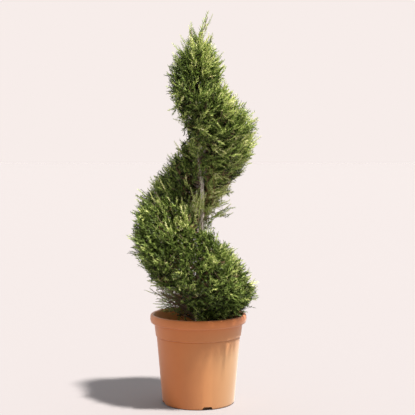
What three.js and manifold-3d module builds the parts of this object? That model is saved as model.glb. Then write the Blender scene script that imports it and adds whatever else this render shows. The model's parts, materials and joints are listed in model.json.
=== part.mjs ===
// Spiral topiary: a conifer trained round a bare trunk in a rising spiral, in its plant pot.
// Millimetres, +Z up, the viewer looks along +Y. The origin is the middle of the pot's underside.
import * as THREE from "three";
import { mergeVertices } from "three/addons/utils/BufferGeometryUtils.js";
import Module from "manifold-3d";

const wasm = await Module();
wasm.setup();

// Driving sizes
const gap = 0.3; // between pieces that touch
const pot = {
  height: 231,
  rimRadius: 124.5,
  rimDepth: 22, // height of the rolled rim
  mouthRadius: 114.5,
  collarRadius: 114.2, // under the rim
  collarFootRadius: 110.2, // just over the groove
  grooveHeight: 174, // the line where the collar ends
  grooveRadius: 107.9, // just under it
  footRadius: 93,
  footRounding: 5,
  wall: 2.4,
  base: 3,
  notchWidth: 26,
  notchHeight: 8,
  notches: 4,
  notchTurn: 14.3, // degrees from the front to the first notch, towards +X
};
const potSides = 36; // an even number, so that the compost's corners lie at the pot's
const compost = { edgeHeight: 188, middleHeight: 196 };
const trunk = {
  tipHeight: 905,
  footRadius: 10.5,
  flare: 5.5, // added to the radius at the foot
  flareHeight: 26,
  tipRadius: 2.2,
};
// Where the trunk's middle line lies, to the right and to the back, at each height
const trunkLine = [
  { height: 196, right: 0, back: 0 },
  { height: 330, right: 3, back: -3 },
  { height: 470, right: 7, back: -2 },
  { height: 545, right: 10, back: 1 },
  { height: 600, right: 4, back: 2 },
  { height: 740, right: 0, back: 0 },
  { height: 905, right: 2, back: 1 },
];
// The clipped ribbon of foliage, at each quarter turn: it starts behind the top and runs down by
// the left, the front and the right. Its middle height, how far it goes up and down, and its reach.
const firstTurn = -0.25;
const stations = [
  { middle: 872, above: 60, below: 90, reach: 60 },
  { middle: 848, above: 80, below: 130, reach: 82 },
  { middle: 785, above: 104, below: 150, reach: 104 },
  { middle: 690, above: 145, below: 170, reach: 152 },
  { middle: 585, above: 160, below: 160, reach: 150 },
  { middle: 448, above: 200, below: 188, reach: 176 },
  { middle: 368, above: 118, below: 160, reach: 170 },
  { middle: 298, above: 150, below: 100, reach: 150 },
  { middle: 262, above: 95, below: 62, reach: 128 },
  { middle: 266, above: 48, below: 52, reach: 116 },
  { middle: 260, above: 25, below: 30, reach: 60 },
];
const crown = { base: 850, middle: 850, top: 968, below: 155, radius: 68 };
// Shoots that stand out of the crown, the leader first: to the right, to the back, and the height
const crownFork = new THREE.Vector3(5, 2, 935);
const crownShoots = [
  { foot: crownFork, end: new THREE.Vector3(30, 4, 1009) },
  { foot: new THREE.Vector3(-13, -2, 920), end: new THREE.Vector3(-21, -3, 976) },
  { foot: new THREE.Vector3(22, 2, 905), end: new THREE.Vector3(40, 2, 956) },
];
const masses = 14;
const massTurn = 1 / 6; // of a turn, the stretch of one mass
const crownTurn = 0.75; // up to this turn the masses also fill the cone under the crown
const openMasses = 1; // the lowest masses that are bare twigs and sprays with no core
const innerShare = 0.2; // of the reach that stays open round the trunk
const innerLeast = 17;
const coreInset = 24; // from the reach to the core
const edgeInset = 10; // from the ribbon's edge to the core
const edgeSpray = 28; // how far sprays may stand past the ribbon's edge
const sprayLength = 58;
const sprayArea = 1400; // of clipped surface for one spray
const twigClear = 1.2; // from a spray to the plane that parts its mass from the next
const sideGap = 0.0016; // of a turn, from a mass to the plane that parts it from the next

// Numbers that look random but are the same each time, from 0 up to 1
function randomFrom(seed) {
  let state = seed;
  return () => {
    state = (state * 1664525 + 1013904223) % 4294967296;
    return state / 4294967296;
  };
}

// A smooth value between the quarter turns
function along(name, turn) {
  const place = (turn - firstTurn) * 4;
  const index = Math.min(Math.max(Math.floor(place), 0), stations.length - 2);
  const at = (i) => stations[Math.min(Math.max(i, 0), stations.length - 1)][name];
  const share = Math.min(Math.max(place - index, 0), 1);
  const [a, b, c, d] = [at(index - 1), at(index), at(index + 1), at(index + 2)];
  return (
    b +
    0.5 * share * (c - a + share * (2 * a - 5 * b + 4 * c - d + share * (3 * (b - c) + d - a)))
  );
}

function spiralPoint(turn, radius, height) {
  const angle = 2 * Math.PI * turn;
  return new THREE.Vector3(-radius * Math.cos(angle), -radius * Math.sin(angle), height);
}

// How far the ribbon stands from the axis: full in its middle, thin at its upper and lower edge
function ribbonReach(turn, height) {
  const over = height - along("middle", turn);
  const share = over > 0 ? over / along("above", turn) : -over / along("below", turn);
  if (share >= 1) return 0;
  return along("reach", turn) * (1 - share ** (over > 0 ? 2 : 1.8)) ** 0.75;
}

function coneReach(height) {
  const over = height - crown.middle;
  const share = over > 0 ? over / (crown.top - crown.middle) : -over / crown.below;
  return share >= 1 ? 0 : crown.radius * (1 - share ** (over > 0 ? 2 : 2.4)) ** 0.85;
}

function massReach(turn, height) {
  return Math.max(ribbonReach(turn, height), turn < crownTurn ? coneReach(height) : 0);
}

function crownReach(turn, height) {
  const ribbons = [turn - 1, turn].filter((t) => t >= firstTurn);
  return Math.max(coneReach(height), ...ribbons.map((t) => ribbonReach(t, height)));
}

const topOf = (turn) => along("middle", turn) + along("above", turn);
const bottomOf = (turn) => along("middle", turn) - along("below", turn);

// The height that a mass may not pass: half way to the turn over it, or the crown's base
function ceilingOf(turn) {
  if (turn < crownTurn) return crown.base - gap;
  const top = topOf(turn);
  const over = bottomOf(turn - 1);
  return over < top ? (over + top) / 2 - 1 : top;
}

function floorOf(turn) {
  const bottom = bottomOf(turn);
  if (turn + 1 > firstTurn + masses * massTurn) return bottom;
  const under = topOf(turn + 1);
  return under > bottom ? (under + bottom) / 2 + 1 : bottom;
}

// How high and how low a spray may stand: past a free edge, but not into the next turn's space
function skyOf(turn) {
  const ceiling = ceilingOf(turn);
  if (ceiling !== topOf(turn)) return ceiling;
  return Math.min(ceiling + edgeSpray, (ceiling + bottomOf(turn - 1)) / 2 - 1);
}

function groundOf(turn) {
  const floor = floorOf(turn);
  if (floor !== bottomOf(turn)) return floor;
  const last = turn + 1 > firstTurn + masses * massTurn;
  const under = last ? compost.middleHeight : (floor + topOf(turn + 1)) / 2 + 1;
  return Math.max(floor - edgeSpray, under);
}

const innerOf = (turn) => Math.max(innerShare * along("reach", turn), innerLeast);

// The height of a mass's heart, where its stem ends
function heartOf(turn) {
  return Math.min(along("middle", turn), 0.55 * ceilingOf(turn) + 0.45 * floorOf(turn));
}

// Geometry from rings of points, each joined to the next, with its two ends closed
function loft(rings) {
  const sides = rings[0].length;
  const points = rings.flat();
  const faces = [];
  rings.slice(1).forEach((ring, i) => {
    for (let j = 0; j < sides; j++) {
      const a = i * sides + j;
      const b = i * sides + ((j + 1) % sides);
      faces.push([a, b, b + sides], [a, b + sides, a + sides]);
    }
  });
  [rings[0], rings[rings.length - 1]].forEach((ring, end) => {
    const middle = new THREE.Vector3();
    ring.forEach((p) => middle.addScaledVector(p, 1 / sides));
    const first = end * (rings.length - 1) * sides;
    for (let j = 0; j < sides; j++) {
      const face = [first + ((j + 1) % sides), first + j, points.length];
      faces.push(end ? face.reverse() : face);
    }
    points.push(middle);
  });
  return solidGeometry(points, faces);
}

// Turns all faces round if they enclose less than nothing
function solidGeometry(points, faces) {
  const corner = new THREE.Vector3();
  const volume = faces.reduce((sum, [a, b, c]) => {
    return sum + points[a].dot(corner.crossVectors(points[b], points[c]));
  }, 0);
  const outward = volume < 0 ? faces.map(([a, b, c]) => [a, c, b]) : faces;
  const geometry = new THREE.BufferGeometry().setFromPoints(points);
  geometry.setIndex(outward.flat());
  return geometry;
}

function toManifold(geometry) {
  geometry.deleteAttribute("normal");
  geometry.deleteAttribute("uv");
  const merged = mergeVertices(geometry, 1e-4);
  const mesh = new wasm.Mesh({
    numProp: 3,
    vertProperties: new Float32Array(merged.attributes.position.array),
    triVerts: new Uint32Array(merged.index.array),
  });
  return new wasm.Manifold(mesh);
}

// One body: the largest, with loose scraps dropped and slivers smoothed away
function toGeometry(manifold) {
  const bodies = manifold.decompose().sort((a, b) => b.volume() - a.volume());
  const mesh = bodies[0].simplify(0.02).getMesh();
  const geometry = new THREE.BufferGeometry();
  const positions = new THREE.BufferAttribute(mesh.vertProperties, mesh.numProp);
  geometry.setAttribute("position", positions);
  geometry.setIndex(new THREE.BufferAttribute(mesh.triVerts, 1));
  return geometry;
}

const materials = {
  pot: { color: 0xb87144, roughness: 0.55, metalness: 0 },
  compost: { color: 0x4a3426, roughness: 1, metalness: 0 },
  bark: { color: 0x8a7465, roughness: 0.9, metalness: 0 },
  foliage: { color: 0x5c7a35, roughness: 0.8, metalness: 0 },
};

const plant = new THREE.Group();

function add(name, geometry, finish) {
  geometry.computeVertexNormals();
  const mesh = new THREE.Mesh(geometry, new THREE.MeshStandardMaterial(materials[finish]));
  mesh.name = name;
  plant.add(mesh);
}

// A straight limb that tapers from one point to another
function limb(from, to, fromRadius, toRadius, sides) {
  const length = from.distanceTo(to);
  const geometry = new THREE.CylinderGeometry(toRadius, fromRadius, length, sides);
  const way = to.clone().sub(from).normalize();
  const turned = new THREE.Quaternion().setFromUnitVectors(new THREE.Vector3(0, 1, 0), way);
  geometry.applyQuaternion(turned);
  const middle = from.clone().lerp(to, 0.5);
  return geometry.translate(middle.x, middle.y, middle.z);
}

// A spray of needles: a flat toothed blade that is thickest along its middle
const sprayOutline = [
  [0, 0],
  [0.58, 0.2],
  [0.66, 0.09],
  [1, 0],
  [0.66, -0.09],
  [0.58, -0.2],
];
const sprayThick = 0.09; // of its length

function sprayPoints(root, tip, across) {
  const way = tip.clone().sub(root);
  const length = way.length();
  const side = across.clone().addScaledVector(way, -across.dot(way) / way.lengthSq()).normalize();
  const up = way.clone().normalize().cross(side);
  const at = (lengthwise, sideways, upwards) =>
    root
      .clone()
      .addScaledVector(way, lengthwise)
      .addScaledVector(side, sideways * length)
      .addScaledVector(up, upwards * length);
  const rim = sprayOutline.map(([lengthwise, sideways]) => at(lengthwise, sideways, 0));
  return [...rim, at(0.45, 0, sprayThick / 2), at(0.45, 0, -sprayThick / 2)];
}

function sprayGeometry(points) {
  const rim = points.length - 2;
  const faces = [];
  for (let i = 0; i < rim; i++) {
    const next = (i + 1) % rim;
    faces.push([i, next, rim], [next, i, rim + 1]);
  }
  return solidGeometry(points, faces);
}

// The trunk's middle line and radius at a height
const trunkCurve = new THREE.CatmullRomCurve3(
  trunkLine.map(({ height, right, back }) => new THREE.Vector3(right, back, height)),
);

function trunkRadius(height) {
  const foot = trunkLine[0].height;
  const share = (height - foot) / (trunk.tipHeight - foot);
  const flare = trunk.flare * Math.exp(-(height - foot) / trunk.flareHeight);
  return trunk.footRadius + (trunk.tipRadius - trunk.footRadius) * share ** 0.9 + flare;
}

function trunkGeometry(extra) {
  const steps = 22;
  const sides = 8;
  const rings = [];
  for (let i = 0; i <= steps; i++) {
    const middle = trunkCurve.getPoint((i / steps) ** 1.35);
    // The expanded copy that cuts the masses runs on past both flat ends
    const overrun = i === 0 ? -extra : i === steps ? extra : 0;
    const radius = trunkRadius(middle.z) + extra;
    const ring = [];
    for (let j = 0; j < sides; j++) {
      const angle = (2 * Math.PI * j) / sides;
      const x = middle.x + radius * Math.cos(angle);
      const y = middle.y + radius * Math.sin(angle);
      ring.push(new THREE.Vector3(x, y, middle.z + gap + overrun));
    }
    rings.push(ring);
  }
  return loft(rings);
}

function trunkAt(height) {
  let [low, high] = [0, 1];
  for (let i = 0; i < 20; i++) {
    const middle = (low + high) / 2;
    if (trunkCurve.getPoint(middle).z < height) low = middle;
    else high = middle;
  }
  return trunkCurve.getPoint(low);
}

// The pot: one closed wall and base turned round the axis, with notches cut in its foot
function potGeometry() {
  const top = pot.height;
  const rimFoot = top - pot.rimDepth;
  const outline = [
    [0, 0],
    [pot.footRadius - pot.footRounding, 0],
    [pot.footRadius - 0.29 * pot.footRounding, 0.29 * pot.footRounding],
    [pot.footRadius, pot.footRounding],
    [pot.grooveRadius, pot.grooveHeight - 2],
    [pot.grooveRadius - 0.8, pot.grooveHeight],
    [pot.collarFootRadius, pot.grooveHeight + 2.5],
    [pot.collarRadius, rimFoot - 1],
    [pot.rimRadius - 4, rimFoot + 2],
    [pot.rimRadius - 1.2, rimFoot + 6],
    [pot.rimRadius, rimFoot + 11.5],
    [pot.rimRadius - 0.7, top - 4.5],
    [pot.rimRadius - 3, top - 1.2],
    [pot.rimRadius - 6, top],
    [pot.mouthRadius + 1.5, top],
    [pot.mouthRadius, top - 1.5],
    [pot.collarRadius - pot.wall, rimFoot - 1],
    [pot.grooveRadius - 0.8 - pot.wall, pot.grooveHeight],
    [pot.footRadius - pot.wall, pot.base + 2],
    [pot.footRadius - pot.wall - 2, pot.base],
    [0, pot.base],
  ];
  const wall = new THREE.LatheGeometry(
    outline.map(([radius, height]) => new THREE.Vector2(radius, height)),
    potSides,
  );
  wall.rotateX(Math.PI / 2);
  const cuts = [];
  for (let i = 0; i < pot.notches; i++) {
    const arch = new THREE.Shape();
    const half = pot.notchWidth / 2;
    const round = pot.notchHeight * 0.75;
    arch.moveTo(-half, -2);
    arch.lineTo(half, -2);
    arch.lineTo(half, pot.notchHeight - round);
    arch.quadraticCurveTo(half, pot.notchHeight, half - round, pot.notchHeight);
    arch.lineTo(round - half, pot.notchHeight);
    arch.quadraticCurveTo(-half, pot.notchHeight, -half, pot.notchHeight - round);
    const depth = 24;
    const cut = new THREE.ExtrudeGeometry(arch, { depth, bevelEnabled: false, curveSegments: 4 });
    cut.rotateX(Math.PI / 2);
    cut.translate(0, 10 - pot.footRadius + depth / 2, 0);
    cut.rotateZ(THREE.MathUtils.degToRad(pot.notchTurn) + (2 * Math.PI * i) / pot.notches);
    cuts.push(toManifold(cut));
  }
  return toGeometry(toManifold(wall).subtract(wasm.Manifold.union(cuts)));
}

// The compost fills the pot up to a low mound
function compostGeometry() {
  const inset = pot.wall + gap;
  const wallAt = (height) => {
    const share = (height - pot.footRounding) / (pot.grooveHeight - 2 - pot.footRounding);
    return pot.footRadius + (pot.grooveRadius - pot.footRadius) * share - inset;
  };
  const outline = [
    [0, pot.base + gap],
    [wallAt(pot.base) - 3, pot.base + gap],
    [wallAt(pot.base + 5) - 0.5, pot.base + 5],
    [wallAt(pot.grooveHeight - 2) - 1, pot.grooveHeight - 2],
    [wallAt(pot.grooveHeight) - 0.6, compost.edgeHeight - 3],
    [wallAt(pot.grooveHeight) - 5, compost.edgeHeight],
    [60, compost.edgeHeight + 3],
    [20, compost.middleHeight],
    [0, compost.middleHeight],
  ];
  const heap = new THREE.LatheGeometry(
    outline.map(([radius, height]) => new THREE.Vector2(radius, height)),
    potSides / 2,
  );
  return heap.rotateX(Math.PI / 2);
}

// Where a mass meets its bough: beside the trunk, a little under the mass's heart
function boughLine(turn) {
  const radius = innerOf(turn) - 1 - boughRadius(turn);
  const height = heartOf(turn) - 0.1 * (ceilingOf(turn) - floorOf(turn));
  const tip = spiralPoint(turn, radius, height);
  const foot = trunkAt(height - 0.75 * radius);
  return { foot, tip, way: tip.clone().sub(foot).normalize() };
}

const boughRadius = (turn) => 1.9 + along("reach", turn) / 75;

// The smaller core of a clipped mass, swept along its stretch of the spiral
function coreGeometry(from, to) {
  const steps = 4;
  const levels = [0, 0.16, 0.36, 0.58, 0.8, 1];
  const rings = [];
  for (let i = 0; i <= steps; i++) {
    const turn = from + ((to - from) * i) / steps;
    const inner = innerOf(turn);
    const low = floorOf(turn) + (floorOf(turn) === bottomOf(turn) ? edgeInset : gap);
    const high = ceilingOf(turn) - (ceilingOf(turn) === topOf(turn) ? edgeInset : gap);
    const heights = levels.map((level) => low + (high - low) * level);
    const outer = heights.map((height) => {
      return spiralPoint(turn, Math.max(massReach(turn, height) - coreInset, inner + 7), height);
    });
    const inmost = [heights[5], heights[2], heights[0]].map((height) => {
      return spiralPoint(turn, inner, height);
    });
    rings.push([...outer, ...inmost]);
  }
  return loft(rings);
}

// A mass: one stem, twigs from it to all of the clipped surface, and sprays on the twigs
function massGeometry(index, from, to) {
  const random = randomFrom(100 + index);
  const middle = (from + to) / 2;
  const { tip, way } = boughLine(middle);
  const radius = boughRadius(middle);
  const root = tip.clone().addScaledVector(way, gap);
  const end = spiralPoint(middle, 0.55 * along("reach", middle), heartOf(middle));
  const open = index >= masses - openMasses;
  const stemBend = root.clone().addScaledVector(way, 9);
  const pieces = [
    limb(root, stemBend, radius, radius * 0.95, 6),
    limb(root.clone().addScaledVector(way, 4), end, radius * 0.97, radius * 0.6, 6),
  ];
  if (!open) pieces.push(coreGeometry(from + sideGap, to - sideGap));
  const inSpace = (point) => {
    const angle = Math.atan2(-point.y, -point.x) / (2 * Math.PI);
    const turn = angle + Math.round(middle - angle);
    const reach = Math.hypot(point.x, point.y);
    const toSide = Math.min(turn - from, to - turn) * 2 * Math.PI * reach;
    if (toSide < twigClear) return false;
    if (reach < innerOf(turn) || reach > massReach(turn, point.z) + 34) return false;
    if (point.z < pot.height + 3 && reach > pot.mouthRadius - 3) return false;
    return point.z > groundOf(turn) && point.z < skyOf(turn);
  };
  const fits = ([start, ...others]) => {
    return others.every((point) => {
      return [0.2, 0.4, 0.6, 0.8, 1].every((share) => inSpace(start.clone().lerp(point, share)));
    });
  };
  const arc = 2 * Math.PI * (to - from) * along("reach", middle);
  const tall = ceilingOf(middle) - floorOf(middle);
  const sprayCount = Math.round((arc * tall) / sprayArea) + (open ? 8 : 0);
  const golden = 0.618034;
  for (let i = 0; i < sprayCount; i++) {
    const turn = from + (to - from) * (0.1 + 0.8 * ((i * golden + 0.3 * random()) % 1));
    const level = (i + 0.2 + 0.6 * random()) / sprayCount;
    const low = floorOf(turn);
    const high = ceilingOf(turn);
    const height = low + (high - low) * (0.03 + 0.94 * level);
    const reach = Math.max(massReach(turn, height), innerOf(turn) + 16);
    const stretch = open ? 0.35 + 0.65 * random() : 0.94 + 0.1 * random();
    const sprayTip = spiralPoint(turn, reach * stretch, height);
    const over = (height - along("middle", turn)) / (0.5 * (high - low));
    const lean = 0.5 + 0.9 * over + 0.5 * random();
    const outward = spiralPoint(turn + 0.05 * (random() - 0.5), 1, 0);
    const length = sprayLength * (0.8 + 0.4 * random());
    const across = new THREE.Vector3(random() - 0.5, random() - 0.5, random() - 0.5);
    const fork = root.clone().lerp(end, 0.25 + 0.7 * random());
    // A spray that doesn't fit is tried flatter, and then skipped
    for (const flatter of [0, 0.7, 1.4]) {
      const aim = outward.clone().setZ(lean - flatter).normalize();
      const sprayRoot = sprayTip.clone().addScaledVector(aim, -length);
      const blade = sprayPoints(sprayRoot, sprayTip, across);
      if (!fits(blade)) continue;
      const twigEnd = sprayRoot.clone().addScaledVector(aim, 0.3 * length);
      pieces.push(limb(fork, twigEnd, radius * 0.45, 0.9, 3), sprayGeometry(blade));
      break;
    }
  }
  return toGeometry(wasm.Manifold.union(pieces.map(toManifold)));
}

// The clipped top over the trunk's tip, with the shoots that stand out of it
function crownGeometry() {
  const random = randomFrom(77);
  const sides = 12;
  const heights = [0, 0.16, 0.36, 0.56, 0.74, 0.88];
  const span = crown.top - crown.base;
  const rings = heights.map((share) => {
    const height = crown.base + gap + share * span * 0.94;
    const ring = [];
    for (let i = 0; i < sides; i++) {
      const turn = i / sides;
      const reach = Math.max(crownReach(turn, height) - 0.8 * coreInset, 7);
      ring.push(spiralPoint(turn, reach, height));
    }
    return ring;
  });
  const pieces = [loft(rings)];
  const tip = trunkAt(trunk.tipHeight).setZ(trunk.tipHeight + 2 * gap);
  pieces.push(limb(tip, crownFork, trunk.tipRadius, trunk.tipRadius * 0.9, 6));
  crownShoots.forEach(({ foot, end }) => {
    const start = foot.clone().lerp(end, -0.15);
    pieces.push(limb(start, end.clone().lerp(start, 0.2), 1.8, 0.9, 3));
    const way = end.clone().sub(start);
    const steps = 3;
    for (let i = 0; i < steps; i++) {
      const from = start.clone().addScaledVector(way, 0.42 + 0.15 * i);
      const spread = new THREE.Vector3(i % 2 ? -0.3 : 0.3, 0.2 - 0.2 * i, 0);
      const to = i === steps - 1 ? end : from.clone().addScaledVector(way, 0.28);
      if (i < steps - 1) to.addScaledVector(spread, 0.22 * way.length());
      pieces.push(sprayGeometry(sprayPoints(from, to, new THREE.Vector3(1, 0.3, 0))));
    }
  });
  const sprayCount = 30;
  for (let i = 0; i < sprayCount; i++) {
    const turn = (i * 0.618034) % 1;
    const share = (i + 0.5) / sprayCount;
    const height = crown.base + 8 + (span - 8) * share ** 0.85;
    const reach = Math.max(crownReach(turn, height), 6);
    const end = spiralPoint(turn, reach * (0.96 + 0.08 * random()), height);
    const outward = spiralPoint(turn, 1, 0.9 + 1.5 * share);
    const length = sprayLength * (0.75 + 0.3 * random()) * (1 - 0.3 * share);
    const start = end.clone().addScaledVector(outward.normalize(), -length);
    if (start.z < crown.base + 4) start.setZ(crown.base + 4);
    const across = new THREE.Vector3(random() - 0.5, random() - 0.5, random() - 0.5);
    const blade = sprayPoints(start, end, across);
    if (blade.every((point) => point.z > crown.base + gap)) pieces.push(sprayGeometry(blade));
  }
  const joined = wasm.Manifold.union(pieces.map(toManifold));
  return toGeometry(joined.subtract(toManifold(trunkGeometry(gap))));
}

add("pot", potGeometry(), "pot");
add("compost", compostGeometry(), "compost");
add("trunk", trunkGeometry(0), "bark");

const wideTrunk = toManifold(trunkGeometry(gap));
for (let i = 0; i < masses; i++) {
  const from = firstTurn + i * massTurn;
  const number = String(i + 1).padStart(2, "0");
  const { foot, tip } = boughLine(from + massTurn / 2);
  const radius = boughRadius(from + massTurn / 2);
  const bough = toManifold(limb(foot, tip, radius * 1.25, radius, 8)).subtract(wideTrunk);
  add("bough_" + number, toGeometry(bough), "bark");
  add("foliage_" + number, massGeometry(i, from, from + massTurn), "foliage");
}
add("crown_top", crownGeometry(), "foliage");

export default plant;
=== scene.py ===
# Spiral topiary in its pot: a clipped conifer, grown here from its limbs down to its sprays of needles.
# Metres, +Z up, the viewer looks along +Y. The rule of the spiral is the one that shaped the model's solids.
import json
import math
import random

import bpy
import numpy as np
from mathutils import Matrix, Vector, kdtree, noise

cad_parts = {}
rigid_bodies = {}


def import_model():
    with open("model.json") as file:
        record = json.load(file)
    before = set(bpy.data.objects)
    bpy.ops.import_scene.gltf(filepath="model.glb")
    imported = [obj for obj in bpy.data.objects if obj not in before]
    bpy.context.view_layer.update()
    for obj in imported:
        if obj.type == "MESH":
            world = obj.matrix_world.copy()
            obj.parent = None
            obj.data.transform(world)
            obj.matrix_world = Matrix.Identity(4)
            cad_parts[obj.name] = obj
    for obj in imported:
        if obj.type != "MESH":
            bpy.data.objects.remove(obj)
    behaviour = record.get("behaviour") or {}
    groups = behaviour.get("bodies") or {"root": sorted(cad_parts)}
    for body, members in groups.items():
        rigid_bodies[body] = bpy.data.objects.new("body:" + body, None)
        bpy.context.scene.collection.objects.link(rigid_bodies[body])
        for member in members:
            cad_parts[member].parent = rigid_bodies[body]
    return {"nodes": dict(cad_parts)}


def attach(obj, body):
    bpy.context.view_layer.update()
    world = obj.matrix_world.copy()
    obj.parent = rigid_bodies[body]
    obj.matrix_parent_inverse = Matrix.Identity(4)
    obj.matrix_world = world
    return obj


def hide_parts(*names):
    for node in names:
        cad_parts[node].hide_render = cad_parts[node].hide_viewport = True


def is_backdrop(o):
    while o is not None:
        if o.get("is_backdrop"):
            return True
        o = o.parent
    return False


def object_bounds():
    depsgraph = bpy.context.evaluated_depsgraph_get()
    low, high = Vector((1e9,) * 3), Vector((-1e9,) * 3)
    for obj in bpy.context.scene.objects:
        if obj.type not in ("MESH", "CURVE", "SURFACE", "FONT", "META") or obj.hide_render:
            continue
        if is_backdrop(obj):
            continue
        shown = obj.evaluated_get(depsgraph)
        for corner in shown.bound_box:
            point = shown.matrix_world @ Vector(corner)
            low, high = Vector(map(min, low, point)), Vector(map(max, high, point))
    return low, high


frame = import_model()
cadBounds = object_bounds()
mm = 0.001


def hexColor(text):
    channels = [int(text[i : i + 2], 16) / 255 for i in (1, 3, 5)]
    linear = [c / 12.92 if c <= 0.04045 else ((c + 0.055) / 1.055) ** 2.4 for c in channels]
    return (*linear, 1.0)


def addNode(tree, kind, sockets=None, **settings):
    node = tree.nodes.new(kind)
    for name, value in settings.items():
        setattr(node, name, value)
    for key, value in (sockets or {}).items():
        if isinstance(value, bpy.types.NodeSocket):
            tree.links.new(value, node.inputs[key])
        else:
            node.inputs[key].default_value = value
    return node


def newMaterial(name, color, roughness, **sockets):
    material = bpy.data.materials.new(name)
    material.use_nodes = True
    shader = material.node_tree.nodes["Principled BSDF"]
    shader.inputs["Base Color"].default_value = hexColor(color)
    shader.inputs["Roughness"].default_value = roughness
    for key, value in sockets.items():
        shader.inputs[key.replace("_", " ")].default_value = value
    return material, material.node_tree, shader


def meshFrom(name, points, faces):
    mesh = bpy.data.meshes.new(name)
    mesh.from_pydata([tuple(p) for p in points], [], faces)
    mesh.validate()
    return mesh


def addObject(name, data):
    thing = bpy.data.objects.new(name, data)
    bpy.context.scene.collection.objects.link(thing)
    return thing


def addPiece(name, mesh, slot, *nodes):
    piece = addObject(name, mesh)
    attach(piece, "root")
    if nodes:
        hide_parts(*nodes)


# The photograph's view, from 2.6 m in front
camera = {"place": (0, -2.6, 0.66), "down": 3.4, "right": 0.52, "lens": 87.8}
lens = bpy.data.cameras.new("viewer")
lens.lens = camera["lens"]
lens.sensor_width = 36
viewer = addObject("viewer", lens)
viewer.location = camera["place"]
viewer.rotation_euler = (math.radians(90 - camera["down"]), 0, math.radians(-camera["right"]))
bpy.context.scene.camera = viewer

# The rule of the spiral, as the solids have it
ribbon = {
    "firstTurn": -0.25,  # behind the top; it runs down by the left, the front and the right
    "masses": 14,
    "massTurn": 1 / 6,  # of a turn, the stretch of one mass
    "crownTurn": 0.75,  # up to this turn the masses also fill the cone under the crown
    "openMasses": 1,  # the lowest, bare twigs with a few sprays
    "innerShare": 0.2,  # of the reach that stays open round the trunk
    "innerLeast": 17 * mm,
    "edgeSpray": 28 * mm,  # how far sprays may stand past the ribbon's edge
    "faceSpray": 34 * mm,  # and past its clipped face
    "sprayLength": 58 * mm,
    "sprayArea": 1400 * mm * mm,
    "twigClear": 1.2 * mm,
    "potClear": 3 * mm,
    "gap": 0.3 * mm,
    "underside": 1.8,  # how the section rounds off below its middle
    "face": 0.75,  # and towards its face
}
# At each quarter turn, in mm: the middle height, how far it goes up and down, and its reach
stations = {
    "middle": [872, 848, 785, 690, 585, 448, 368, 298, 262, 266, 260],
    "above": [60, 80, 104, 145, 160, 200, 118, 150, 95, 48, 25],
    "below": [90, 130, 150, 170, 160, 188, 160, 100, 62, 52, 30],
    "reach": [60, 82, 104, 152, 150, 176, 170, 150, 128, 116, 60],
}
# The cone over the trunk's tip, and how its sprays differ from the ribbon's
crown = {
    "base": 0.850,
    "middle": 0.850,
    "top": 0.968,
    "below": 0.155,
    "radius": 0.068,
    "underside": 2.4,
    "face": 0.85,
    "trunkClear": 2 * mm,
    "closer": 0.9,  # its sprays stand closer, and lie flatter in its surface
    "flatter": (0.6, 0.8),
    "lean": (0.8, 1.5),  # how steeply they point at its base, and how much more at its top
    "size": (0.65, 0.95),
    "tuftSize": 0.8,
}
potTop = 0.231
potMouth = 0.1145  # the radius inside its rim
compostTop = 0.196
goldenShare = 0.618034  # spaces the branches evenly and never in rows


def clamp(value, low, high):
    return min(max(value, low), high)


# The same numbers from 0 to 1 as the solids draw
def numbersFrom(seed):
    state = [seed]

    def draw():
        state[0] = (state[0] * 1664525 + 1013904223) % 4294967296
        return state[0] / 4294967296

    return draw


def along(name, turn):
    row = stations[name]
    place = (turn - ribbon["firstTurn"]) * 4
    index = clamp(math.floor(place), 0, len(row) - 2)
    share = clamp(place - index, 0, 1)
    a, b, c, d = (row[clamp(index + i, 0, len(row) - 1)] for i in (-1, 0, 1, 2))
    bend = 2 * a - 5 * b + 4 * c - d + share * (3 * (b - c) + d - a)
    return mm * (b + 0.5 * share * (c - a + share * bend))


def spiralPoint(turn, radius, height):
    angle = 2 * math.pi * turn
    return Vector((-radius * math.cos(angle), -radius * math.sin(angle), height))


def sectionShare(over, above, below, shape):
    share = over / above if over > 0 else -over / below
    if share >= 1:
        return 0
    return (1 - share ** (2 if over > 0 else shape["underside"])) ** shape["face"]


def aimed(turn, lean):
    return spiralPoint(turn, 1, lean).normalized()


def ribbonReach(turn, height):
    over = height - along("middle", turn)
    share = sectionShare(over, along("above", turn), along("below", turn), ribbon)
    return along("reach", turn) * share if share else 0


def coneReach(height):
    over = height - crown["middle"]
    return crown["radius"] * sectionShare(over, crown["top"] - crown["middle"], crown["below"], crown)


def massReach(turn, height):
    return max(ribbonReach(turn, height), coneReach(height) if turn < ribbon["crownTurn"] else 0)


def crownReach(turn, height):
    turns = [t for t in (turn - 1, turn) if t >= ribbon["firstTurn"]]
    return max([coneReach(height)] + [ribbonReach(t, height) for t in turns])


def topOf(turn):
    return along("middle", turn) + along("above", turn)


def bottomOf(turn):
    return along("middle", turn) - along("below", turn)


def ceilingOf(turn):
    if turn < ribbon["crownTurn"]:
        return crown["base"] - ribbon["gap"]
    top, over = topOf(turn), bottomOf(turn - 1)
    return (over + top) / 2 - mm if over < top else top


lastTurn = ribbon["firstTurn"] + ribbon["masses"] * ribbon["massTurn"]


def floorOf(turn):
    bottom = bottomOf(turn)
    if turn + 1 > lastTurn:
        return bottom
    under = topOf(turn + 1)
    return (under + bottom) / 2 + mm if under > bottom else bottom


def skyOf(turn):
    ceiling = ceilingOf(turn)
    if ceiling != topOf(turn):
        return ceiling
    return min(ceiling + ribbon["edgeSpray"], (ceiling + bottomOf(turn - 1)) / 2 - mm)


def groundOf(turn):
    floor = floorOf(turn)
    if floor != bottomOf(turn):
        return floor
    under = compostTop if turn + 1 > lastTurn else (floor + topOf(turn + 1)) / 2 + mm
    return max(floor - ribbon["edgeSpray"], under)


def innerOf(turn):
    return max(ribbon["innerShare"] * along("reach", turn), ribbon["innerLeast"])


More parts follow.
